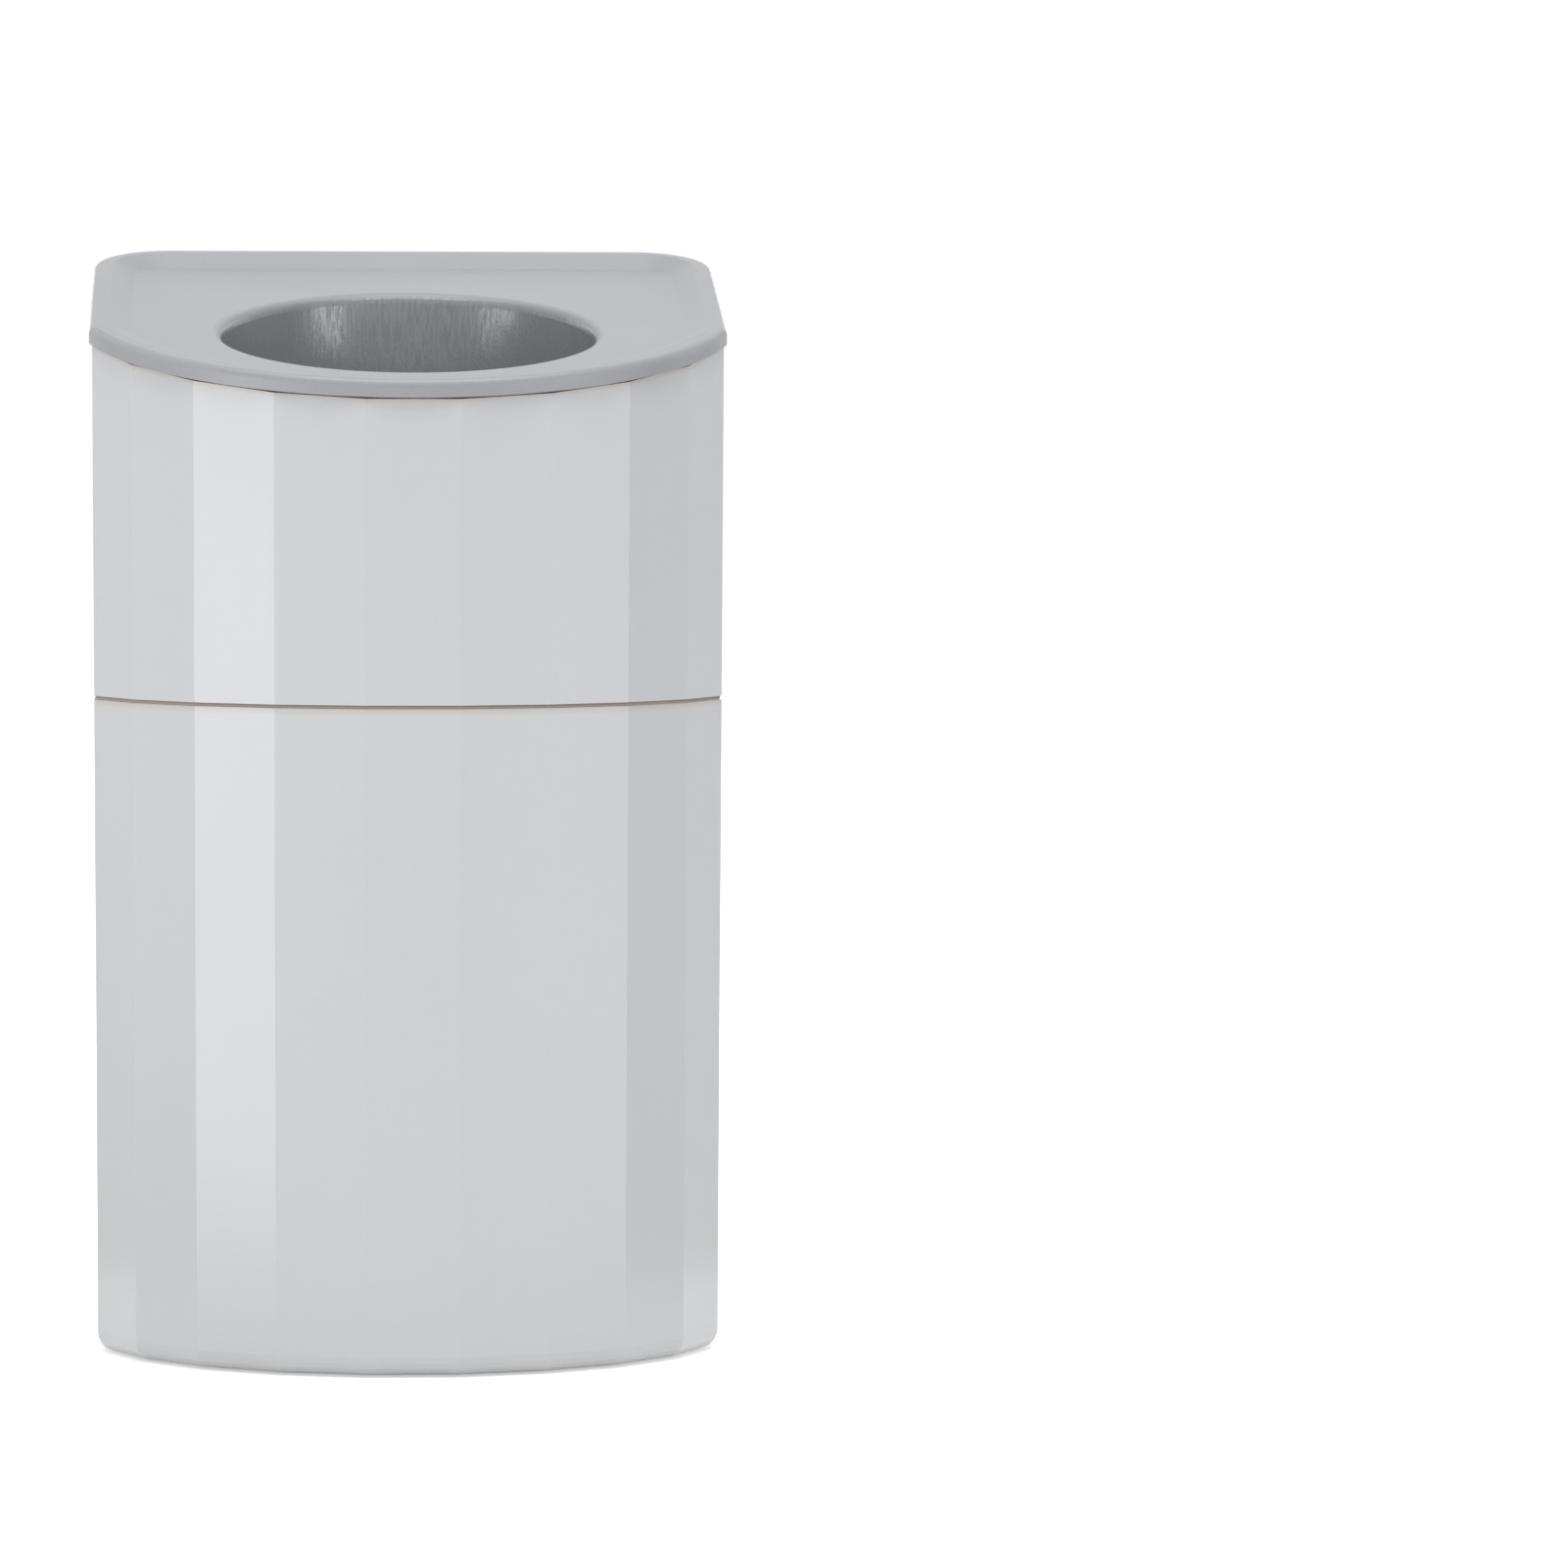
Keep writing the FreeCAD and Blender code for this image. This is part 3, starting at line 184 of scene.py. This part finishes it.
# %% [markdown]
# The floor is a large sheet of white paper. Lit like the casing it would look grey, so it glows a little
# to the same direct rays. That makes it white and leaves the soft shadow on it. It lies a hair below the
# base, because two faces in one place would flicker.


# %% Floor
def rectangle(name, half_wide, half_high):
    """Makes a flat rectangle about its own middle."""
    mesh = bpy.data.meshes.new(name)
    corners = [(x * half_wide, y * half_high, 0) for x, y in ((-1, -1), (1, -1), (1, 1), (-1, 1))]
    mesh.from_pydata(corners, [], [(0, 1, 2, 3)])
    return bpy.data.objects.new(name, mesh)


FLOOR_HALF = 4
FLOOR_DROP = 0.0002
floor = rectangle("paper_floor", FLOOR_HALF, FLOOR_HALF)
floor.location.z = -FLOOR_DROP
scene.collection.objects.link(floor)
paper = plain("white_paper", (0.86, 0.86, 0.86), 0.8, Specular_IOR_Level=0.1, Emission_Strength=0.52)
feed(paper.tree, seen_directly(paper.tree), paper.inputs["Emission Color"])
floor.data.materials.append(paper.material)
print("floor:", 2 * FLOOR_HALF, "m square")

# %% [markdown]
# The photograph shows where its lamps stood. One facet left of the middle is the brightest, and two
# broad streaks lie on the far wall of the well, so a wide, low softbox stands at 50 to 60 degrees on
# each side. Low down, a facet mirrors the table rather than the lamp. So a flat lamp lies before the
# left softbox, as a polished table would repeat it. A panel overhead and two boxes behind light the rest.


# %% Softboxes and panels
def stand(item, side, height, distance, upright):
    """Stands a lamp or card at an angle in degrees from the front, turned to the dispenser."""
    turn = math.radians(side)
    item.location = (distance * math.sin(turn), -distance * math.cos(turn), height)
    facing = aim - item.location
    if upright:
        facing.z = 0
    item.rotation_mode = "QUATERNION"
    item.rotation_quaternion = facing.to_track_quat("-Z", "Y")
    item.visible_camera = False
    scene.collection.objects.link(item)


def softbox(name, side, height, distance, size, radiance, upright=True):
    """Makes a rectangular lamp of a given brightness."""
    light = bpy.data.lights.new(name, "AREA")
    light.shape = "RECTANGLE"
    light.size, light.size_y = size
    light.energy = radiance * math.pi * size[0] * size[1]
    lamp = bpy.data.objects.new(name, light)
    stand(lamp, side, height, distance, upright)
    print(f"{name}: {light.energy:.2f} W")
    return lamp


LEFT, RIGHT, BEHIND = -60, 50, 165
softbox("left_softbox", LEFT, height=0.08, distance=0.5, size=(0.22, 0.16), radiance=2.5)
softbox("right_softbox", RIGHT, height=0.08, distance=0.5, size=(0.175, 0.16), radiance=3.3)
for name, side in (("left_back_softbox", -BEHIND), ("right_back_softbox", BEHIND)):
    softbox(name, side, height=0.1, distance=0.6, size=(0.2, 0.2), radiance=2.2)
softbox("top_panel", 0, height=1.5, distance=0.25, size=(1.2, 1.2), radiance=3.5, upright=False)
table_lamp = softbox(
    "left_table_lamp", LEFT, height=0.001, distance=0.31, size=(0.12, 0.3), radiance=2.1)
face_up = Quaternion((1, 0, 0), math.pi)
table_lamp.rotation_quaternion = Quaternion((0, 0, 1), math.radians(LEFT)) @ face_up

# %% [markdown]
# One facet on the right is darker than both its neighbours, because it mirrors something dark, and the
# outermost facets, which mirror most, are no brighter than the rest. Painting the facets would look
# wrong from every other side. So a black card stands where the dark facet looks, and off-white foam
# boards where the outer ones do. Cards like these are how a photographer shapes a glossy thing. They
# stand close by, so that even the foot of each facet mirrors its card and not the floor.


# %% Cards
def card(name, side, half_wide, shade):
    """Stands up a card of a plain grey that shows only in reflections."""
    sheet = rectangle(name, half_wide, CARD_HALF_HIGH)
    sheet.data.materials.append(plain(name, (shade, shade, shade), CARD_ROUGHNESS).material)
    stand(sheet, side, CARD_HALF_HIGH, CARD_DISTANCE, upright=True)
    sheet.visible_transmission = False
    sheet.visible_diffuse = False
    sheet.visible_shadow = False
    print(f"{name}: {side} degrees from the front")


CARD_HALF_HIGH, CARD_DISTANCE = 0.2, 0.1
CARD_ROUGHNESS = 0.9
card("black_card", 82, half_wide=0.018, shade=0.1)
card("left_back_board", -109, half_wide=0.02, shade=0.75)
card("left_side_board", -80, half_wide=0.015, shade=0.7)
card("right_back_board", 111, half_wide=0.02, shade=0.75)

# %% [markdown]
# Moulded plastic is never quite flat. The tool is spark-eroded, which leaves a fine even grain, and the
# colour wanders a little as the melt flows. Several plastics here share that, so it is one node group
# with its own sizes per material: a height for the bump, a tone for the colour that is half slow drift
# and half grain, and a patchy value for the roughness. Object coordinates keep the grain in real
# millimetres on every piece.

# %% Node group: moulded grain
grain_group = bpy.data.node_groups.new("moulded_grain", "ShaderNodeTree")
for name, size in (("Grain Size", 0.0003), ("Tone Size", 0.03)):
    socket = grain_group.interface.new_socket(name, in_out="INPUT", socket_type="NodeSocketFloat")
    socket.default_value = size
for name in ("Height", "Tone", "Patch"):
    grain_group.interface.new_socket(name, in_out="OUTPUT", socket_type="NodeSocketFloat")
enter = grain_group.nodes.new("NodeGroupInput")
leave = grain_group.nodes.new("NodeGroupOutput")
anywhere = place(grain_group, "TexCoord").outputs["Object"]


def specks(size, detail):
    """Gives noise with specks about as large as one of the group's sizes."""
    density = maths(grain_group, "DIVIDE", 1, enter.outputs[size])
    inputs = {"Vector": anywhere, "Scale": density, "Detail": detail, "Roughness": 0.6}
    return place(grain_group, "TexNoise", inputs).outputs["Fac"]


fine_grain = specks("Grain Size", detail=3)
half_drift = maths(grain_group, "MULTIPLY", specks("Tone Size", detail=2), 0.5)
blended_tone = maths(grain_group, "MULTIPLY_ADD", fine_grain, 0.5, half_drift)
feed(grain_group, fine_grain, leave.inputs["Height"])
feed(grain_group, blended_tone, leave.inputs["Tone"])
feed(grain_group, specks("Tone Size", detail=6), leave.inputs["Patch"])
print("group:", grain_group.name)

# %% [markdown]
# Every plastic then uses the group in the same three places. The colour moves between two close tones,
# the roughness moves a little round its middle, and the height goes through a Bump node. The bump's
# distance is the real depth of the grain, some hundredths of a millimetre.


# %% A moulded finish from two tones
def moulded(name, light, dark, roughness, grain, depth, **sockets):
    """Makes a moulded plastic with a grain of that size and depth, and keeps its results for more."""
    finish = plain(name, light, roughness, **sockets)
    tree = finish.tree
    speckle = place(tree, "Group", {"Grain Size": grain}, node_tree=grain_group).outputs
    finish.tone = mix_colours(tree, (*light, 1), (*dark, 1), speckle["Tone"])
    gloss_range = (roughness - SHEEN_SPREAD, roughness + SHEEN_SPREAD)
    finish.sheen = remap(tree, speckle["Patch"], (0, 1), gloss_range)
    relief = {"Strength": GRAIN_STRENGTH, "Distance": depth, "Height": speckle["Height"]}
    finish.relief = place(tree, "Bump", relief).outputs["Normal"]
    feed(tree, finish.tone, finish.inputs["Base Color"])
    feed(tree, finish.sheen, finish.inputs["Roughness"])
    feed(tree, finish.relief, finish.inputs["Normal"])
    return finish


def dress(finish, *nodes):
    """Gives CAD nodes a finish in place of the material they were loaded with."""
    for node in nodes:
        mesh = frame["nodes"][node].data
        mesh.materials.clear()
        mesh.materials.append(finish.material)
    print(finish.material.name, "on", ", ".join(nodes))


SHEEN_SPREAD = 0.04
GRAIN_STRENGTH = 0.5
print("helpers: moulded, dress")

# %% [markdown]
# The casing is a cool, slightly grey white with a satin grain. A warm, darker painted shade lies on the
# edge of the lower half below the seam, and on the edge of the upper half under the lid, where the gap
# and the lid's overhang shade the plastic. Each painted shade is a mask that fades with the distance
# below its edge: the seam is level, and the lid's edge slopes up to the back. The tongue and its rails
# cross the seam unbroken, so the seam's mask ends before the back.


# %% Casing plastic
def spot_of(tree):
    """Gives the X, Y and Z of the object coordinates, in metres, by name."""
    where = place(tree, "TexCoord").outputs["Object"]
    return place(tree, "SeparateXYZ", {"Vector": where}).outputs


def shade_band_below(tree, spot, level, slope, reach, amount):
    """Gives a painted-shade mask that is strongest just below an edge and fades out further down."""
    edge = maths(tree, "MULTIPLY_ADD", spot["Y"], slope, level)
    below = maths(tree, "SUBTRACT", edge, spot["Z"])
    fade = remap(tree, below, (0, reach), (amount, 0))
    return maths(tree, "MULTIPLY", fade, maths(tree, "GREATER_THAN", below, 0))


rim_low, rim_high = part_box("lower_casing")
SEAM = rim_high[2] + 0.0001
BACK_WALL = rim_high[1] - 0.0015
LID_EDGE = 0.12
LID_SLOPE = math.tan(math.radians(12.55))
EDGE_SHADE_TINT = (0.5, 0.42, 0.34, 1)
casing = moulded(
    "casing_plastic", light=(0.605, 0.612, 0.622), dark=(0.568, 0.575, 0.584),
    roughness=0.23, grain=0.00032, depth=0.00002)
spot = spot_of(casing.tree)
# Painted shade: a warm, darker tint just below the seam and just below the lid's edge.
seam_shade_band = shade_band_below(casing.tree, spot, SEAM, 0, reach=0.0009, amount=0.6)
before_back = maths(casing.tree, "LESS_THAN", spot["Y"], BACK_WALL)
seam_shade_band = maths(casing.tree, "MULTIPLY", seam_shade_band, before_back)
lid_shade_band = shade_band_below(casing.tree, spot, LID_EDGE, LID_SLOPE, reach=0.0007, amount=0.5)
painted_shade_bands = maths(casing.tree, "MAXIMUM", seam_shade_band, lid_shade_band)
casing_with_shade = mix_colours(casing.tree, casing.tone, EDGE_SHADE_TINT, painted_shade_bands)
feed(casing.tree, casing_with_shade, casing.inputs["Base Color"])
dress(casing, "upper_casing", "lower_casing")

# %% [markdown]
# The lid is the same kind of plastic in a mid grey, with a rougher grain on top. Its well stands over the
# plunger, so the push head's box gives the well's axis. Inside the mouth the plastic looks darker, since
# little light comes back from there. That shade follows the distance from the axis: it is full on the
# wall and runs out over the rounded lip. A separate material would end in a hard line instead.

# %% Lid plastic
head_low, head_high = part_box("push_head")
WELL_Y = (head_low[1] + head_high[1]) / 2
LIP = (0.0219, 0.0229)
WELL_SHADE = (0.275, 0.285, 0.305, 1)
lid = moulded(
    "lid_plastic", light=(0.365, 0.37, 0.385), dark=(0.29, 0.295, 0.31),
    roughness=0.37, grain=0.00036, depth=0.00005, Coat_Roughness=0.17)
spot = spot_of(lid.tree)
back_of_axis = maths(lid.tree, "SUBTRACT", spot["Y"], WELL_Y)
level_offset = place(lid.tree, "CombineXYZ", {"X": spot["X"], "Y": back_of_axis}).outputs[0]
off_axis = place(lid.tree, "VectorMath", {0: level_offset}, operation="LENGTH").outputs["Value"]
over_lip = remap(lid.tree, off_axis, LIP, (1, 0))
shaded = mix_colours(lid.tree, lid.tone, WELL_SHADE, over_lip)
feed(lid.tree, shaded, lid.inputs["Base Color"])
dress(lid, "lid")

# %% [markdown]
# The wall of the well was drawn off a long steel core, which leaves fine upright marks that catch the
# softboxes as two streaks. The marks are noise stretched along the wall: its first coordinate runs round
# the well and its second runs down it, eight times slower. A mask keeps them to what lies near the
# well's axis. The wall is smoother than the top, and the crests of the marks also carry a glossy coat,
# where the core has burnished them.

# %% Drawn marks in the well
WELL_RADIUS = 0.0217
WALL_MARGIN = 0.0002
MARK_STRETCH = 8
MARKS_PER_METRE = 2800
BURNISHED = -0.2
in_well = maths(lid.tree, "LESS_THAN", off_axis, WELL_RADIUS + WALL_MARGIN)
angle = maths(lid.tree, "ARCTAN2", spot["X"], back_of_axis)
round_way = maths(lid.tree, "MULTIPLY", angle, WELL_RADIUS)
down_way = maths(lid.tree, "MULTIPLY", spot["Z"], 1 / MARK_STRETCH)
on_wall = place(lid.tree, "CombineXYZ", {"X": round_way, "Y": down_way}).outputs[0]
streaky = {"Vector": on_wall, "Scale": MARKS_PER_METRE, "Detail": 3, "Roughness": 0.7}
marks = place(lid.tree, "TexNoise", streaky).outputs["Fac"]
strokes = maths(lid.tree, "MULTIPLY", marks, in_well)
drawn = {"Strength": 0.8, "Distance": 0.00005, "Height": strokes, "Normal": lid.relief}
feed(lid.tree, place(lid.tree, "Bump", drawn).outputs["Normal"], lid.inputs["Normal"])
polish = maths(lid.tree, "MULTIPLY", in_well, BURNISHED)
feed(lid.tree, maths(lid.tree, "ADD", lid.sheen, polish), lid.inputs["Roughness"])
crests = remap(lid.tree, marks, (0.42, 0.56), (0, 1))
feed(lid.tree, maths(lid.tree, "MULTIPLY", crests, in_well), lid.inputs["Coat Weight"])
print(f"drawn marks: {1000 / MARKS_PER_METRE:.2f} mm wide")

# %% [markdown]
# The hook is a harder, bluer grey with a fine spark grain. The pump's parts are natural
# white resin, smoother because nobody sees them, and the sliding stem is a waxy bearing plastic.

# %% Hook, pump and stem plastics
hook = moulded(
    "hook_plastic", light=(0.35, 0.375, 0.42), dark=(0.32, 0.345, 0.39),
    roughness=0.45, grain=0.0004, depth=0.00003)
dress(hook, "wall_hook")
pump = moulded(
    "pump_resin", light=(0.72, 0.73, 0.71), dark=(0.66, 0.67, 0.65),
    roughness=0.3, grain=0.0009, depth=0.00001)
dress(pump, "tube_seat", "pump_cylinder", "cylinder_cap", "push_head", "nozzle")
stem = moulded(
    "bearing_plastic", light=(0.78, 0.77, 0.73), dark=(0.72, 0.71, 0.67),
    roughness=0.38, grain=0.0014, depth=0.00001)
dress(stem, "piston_stem", "piston")

# %% [markdown]
# Seals and valves are moulded silicone: soft, milky and slightly tacky, so they take dust. A low bump
# with a coarser grain and a high roughness give that dry skin.

# %% Silicone
silicone = moulded(
    "milky_silicone", light=(0.66, 0.66, 0.64), dark=(0.52, 0.52, 0.5),
    roughness=0.6, grain=0.0007, depth=0.00003)
dress(silicone, "neck_gasket", "cylinder_seal", "inlet_valve", "stem_seal", "piston_seal", "outlet_valve")

# %% [markdown]
# The adhesive sheet is clear film with a frosted face. What touches it reads sharp through it, and
# what lies further back blurs, as with rough glass. So it is a transmitting shader with some
# roughness rather than a see-through colour. Shadow rays pass it nearly freely, since so thin a film
# darkens nothing behind it. Its face lies on the hook's pad, and two faces in one place would trap the
# light between them. So the film is thinned by a hair, which leaves air between the two.

# %% Frosted film
FILM_GRAIN = 0.0012
FROST = (0.14, 0.3)
SHADOW_LEFT = 0.12
AIR_GAP = 0.00003
film = plain("frosted_film", (0.95, 0.96, 0.965), 0.2, Transmission_Weight=1.0, IOR=1.3)
speckle = place(film.tree, "Group", {"Grain Size": FILM_GRAIN}, node_tree=grain_group).outputs
feed(film.tree, remap(film.tree, speckle["Patch"], (0, 1), FROST), film.inputs["Roughness"])
rippled = {"Strength": 0.3, "Distance": 0.00002, "Height": speckle["Height"]}
feed(film.tree, place(film.tree, "Bump", rippled).outputs["Normal"], film.inputs["Normal"])
shadow_ray = place(film.tree, "LightPath").outputs["Is Shadow Ray"]
feed(film.tree, remap(film.tree, shadow_ray, (0, 1), (1, SHADOW_LEFT)), film.inputs["Alpha"])
dress(film, "adhesive_sheet")
thinning = frame["nodes"]["adhesive_sheet"].modifiers.new("air_under_film", "DISPLACE")
thinning.strength = -AIR_GAP
thinning.mid_level = 0

# %% [markdown]
# The spring and the screws are bright drawn steel. The CAD spring is a rigid wire, but the real one
# shortens as the plunger rises. So a wire of the same size is wound here as a smooth curve and turned
# into a mesh.

# %% Steel and the winding of the spring
steel = moulded(
    "drawn_steel", light=(0.62, 0.62, 0.64), dark=(0.5, 0.5, 0.52),
    roughness=0.26, grain=0.0005, depth=0.00001, Metallic=1.0)
dress(steel, "pump_screws")

WIRE, PLAY = 0.00045, 0.0001
TURNS, STEPS = 9, 24
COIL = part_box("return_spring")[1][0] - WIRE
BOSS = head_high[2]
push = next(joint for joint in frame["joints"] if joint["name"] == "plunger_push")
CAP = push["deforming_nodes"][0]["fixed_end_z_m"]
first, last = BOSS + WIRE + PLAY, CAP - WIRE - PLAY
winding = bpy.data.curves.new("spring_winding", "CURVE")
winding.dimensions = "3D"
winding.bevel_depth = WIRE
winding.bevel_resolution = 3
winding.use_fill_caps = True
run = winding.splines.new("NURBS")
run.points.add(STEPS * TURNS)
for step, point in enumerate(run.points):
    turn = 2 * math.pi * step / STEPS
    rise = first + (last - first) * step / (STEPS * TURNS)
    point.co = (COIL * math.cos(turn), WELL_Y + COIL * math.sin(turn), rise, 1)
run.order_u = 4
run.use_endpoint_u = True
print(f"winding: {TURNS} turns of {2000 * WIRE:.1f} mm wire")

# %% [markdown]
# The winding becomes a mesh of its own. It is attached to the frame and takes the place of the CAD
# spring, which is hidden.

# %% The return spring
coil_mesh = bpy.data.meshes.new_from_object(bpy.data.objects.new("spring_winding", winding))
coil_mesh.materials.clear()
coil_mesh.materials.append(steel.material)
for face in coil_mesh.polygons:
    face.use_smooth = True
coil = bpy.data.objects.new("wound_return_spring", coil_mesh)
scene.collection.objects.link(coil)
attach(coil, "frame")
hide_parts("return_spring")
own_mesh(coil)

# %% [markdown]
# The seam is a groove four tenths of a millimetre high. Its shade is painted on a thin brown strip laid
# in it just behind the facets, since a colour painted on the plastic would not fill the groove. It
# follows the plan of the casing
# from one side of the tongue, round the front, to the other side. The plan is worked out from the lower
# casing's box:
# nine equal facets, a round corner and a flat back.


# %% Painted shade strip in the seam
def seam_plan(inset):
    """Gives the plan of the seam, inset from the casing's outside, from tongue edge to tongue edge."""
    reach, back, bend = REACH - inset, BACK_Y - inset, CORNER - inset
    turns = [SWEEP * (index / FACETS - 0.5) for index in range(FACETS + 1)]
    front = [(reach * math.sin(turn), ARC_Y - reach * math.cos(turn)) for turn in turns]
    middle_x, middle_y = front[-1][0] - bend, back - bend
    bends = [math.pi / 2 * step / CORNER_STEPS for step in range(CORNER_STEPS + 1)]
    corner = [(middle_x + bend * math.cos(turn), middle_y + bend * math.sin(turn)) for turn in bends]
    right = corner + [(TONGUE_SIDE, back)]
    left = [(-x, y) for x, y in reversed(right)]
    return left + front + right


FACETS, SWEEP = 9, math.radians(145.5)
CORNER, CORNER_STEPS = 0.0087, 8
TONGUE_SIDE = 0.0199
SEAM_GAP, CLEAR = 0.0004, 0.00002
SET_BACK, STRIP_BACK = 0.00022, 0.0016
REACH = rim_high[0] / math.sin(SWEEP / 2)
ARC_Y = rim_low[1] + REACH * math.cos(SWEEP / FACETS / 2)
BACK_Y = rim_high[1]
GROOVE = (rim_high[2] + CLEAR, rim_high[2] + SEAM_GAP - CLEAR)
outer, inner = seam_plan(SET_BACK), seam_plan(STRIP_BACK)
count = len(outer)
loops = [(outer, GROOVE[0]), (outer, GROOVE[1]), (inner, GROOVE[1]), (inner, GROOVE[0])]
points = [(x, y, z) for plan, z in loops for x, y in plan]
faces = [(a * count + i, a * count + i + 1, b * count + i + 1, b * count + i)
         for a, b in ((0, 1), (1, 2), (2, 3), (3, 0)) for i in range(count - 1)]
faces += [(0, count, 2 * count, 3 * count), tuple((k + 1) * count - 1 for k in (3, 2, 1, 0))]
# A strip that carries painted shade in the seam groove.
gap_shade_mesh = bpy.data.meshes.new("seam_gap_shade")
gap_shade_mesh.from_pydata(points, [], faces)
gap_shade_mesh.validate()
gap_shade_strip = bpy.data.objects.new("seam_gap_shade", gap_shade_mesh)
scene.collection.objects.link(gap_shade_strip)
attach(gap_shade_strip, "frame")
print(f"dust line: {len(faces)} faces")

# %% [markdown]
# The painted shade on the strip is matt and brown. It is dark at the top of the groove, where no light
# comes in, and lighter where it lies on the lower rim, where light reaches it. One colour would read as a
# drawn line, so two are mixed by height.

# %% Painted shade in the seam
# Painted shade and painted light: dark brown at the top of the groove, a lighter tan low on the rim.
STRIP_LIT_LOW, STRIP_SHADED_HIGH = (0.58, 0.54, 0.49, 1), (0.13, 0.1, 0.085, 1)
gap_paint = plain("painted_seam_shade", (0.3, 0.25, 0.2), 0.9)
shade_share = remap(gap_paint.tree, spot_of(gap_paint.tree)["Z"], GROOVE, (0, 1))
strip_shading = mix_colours(gap_paint.tree, STRIP_LIT_LOW, STRIP_SHADED_HIGH, shade_share)
feed(gap_paint.tree, strip_shading, gap_paint.inputs["Base Color"])
gap_shade_mesh.materials.append(gap_paint.material)
print(gap_paint.material.name, "on", gap_shade_strip.name)
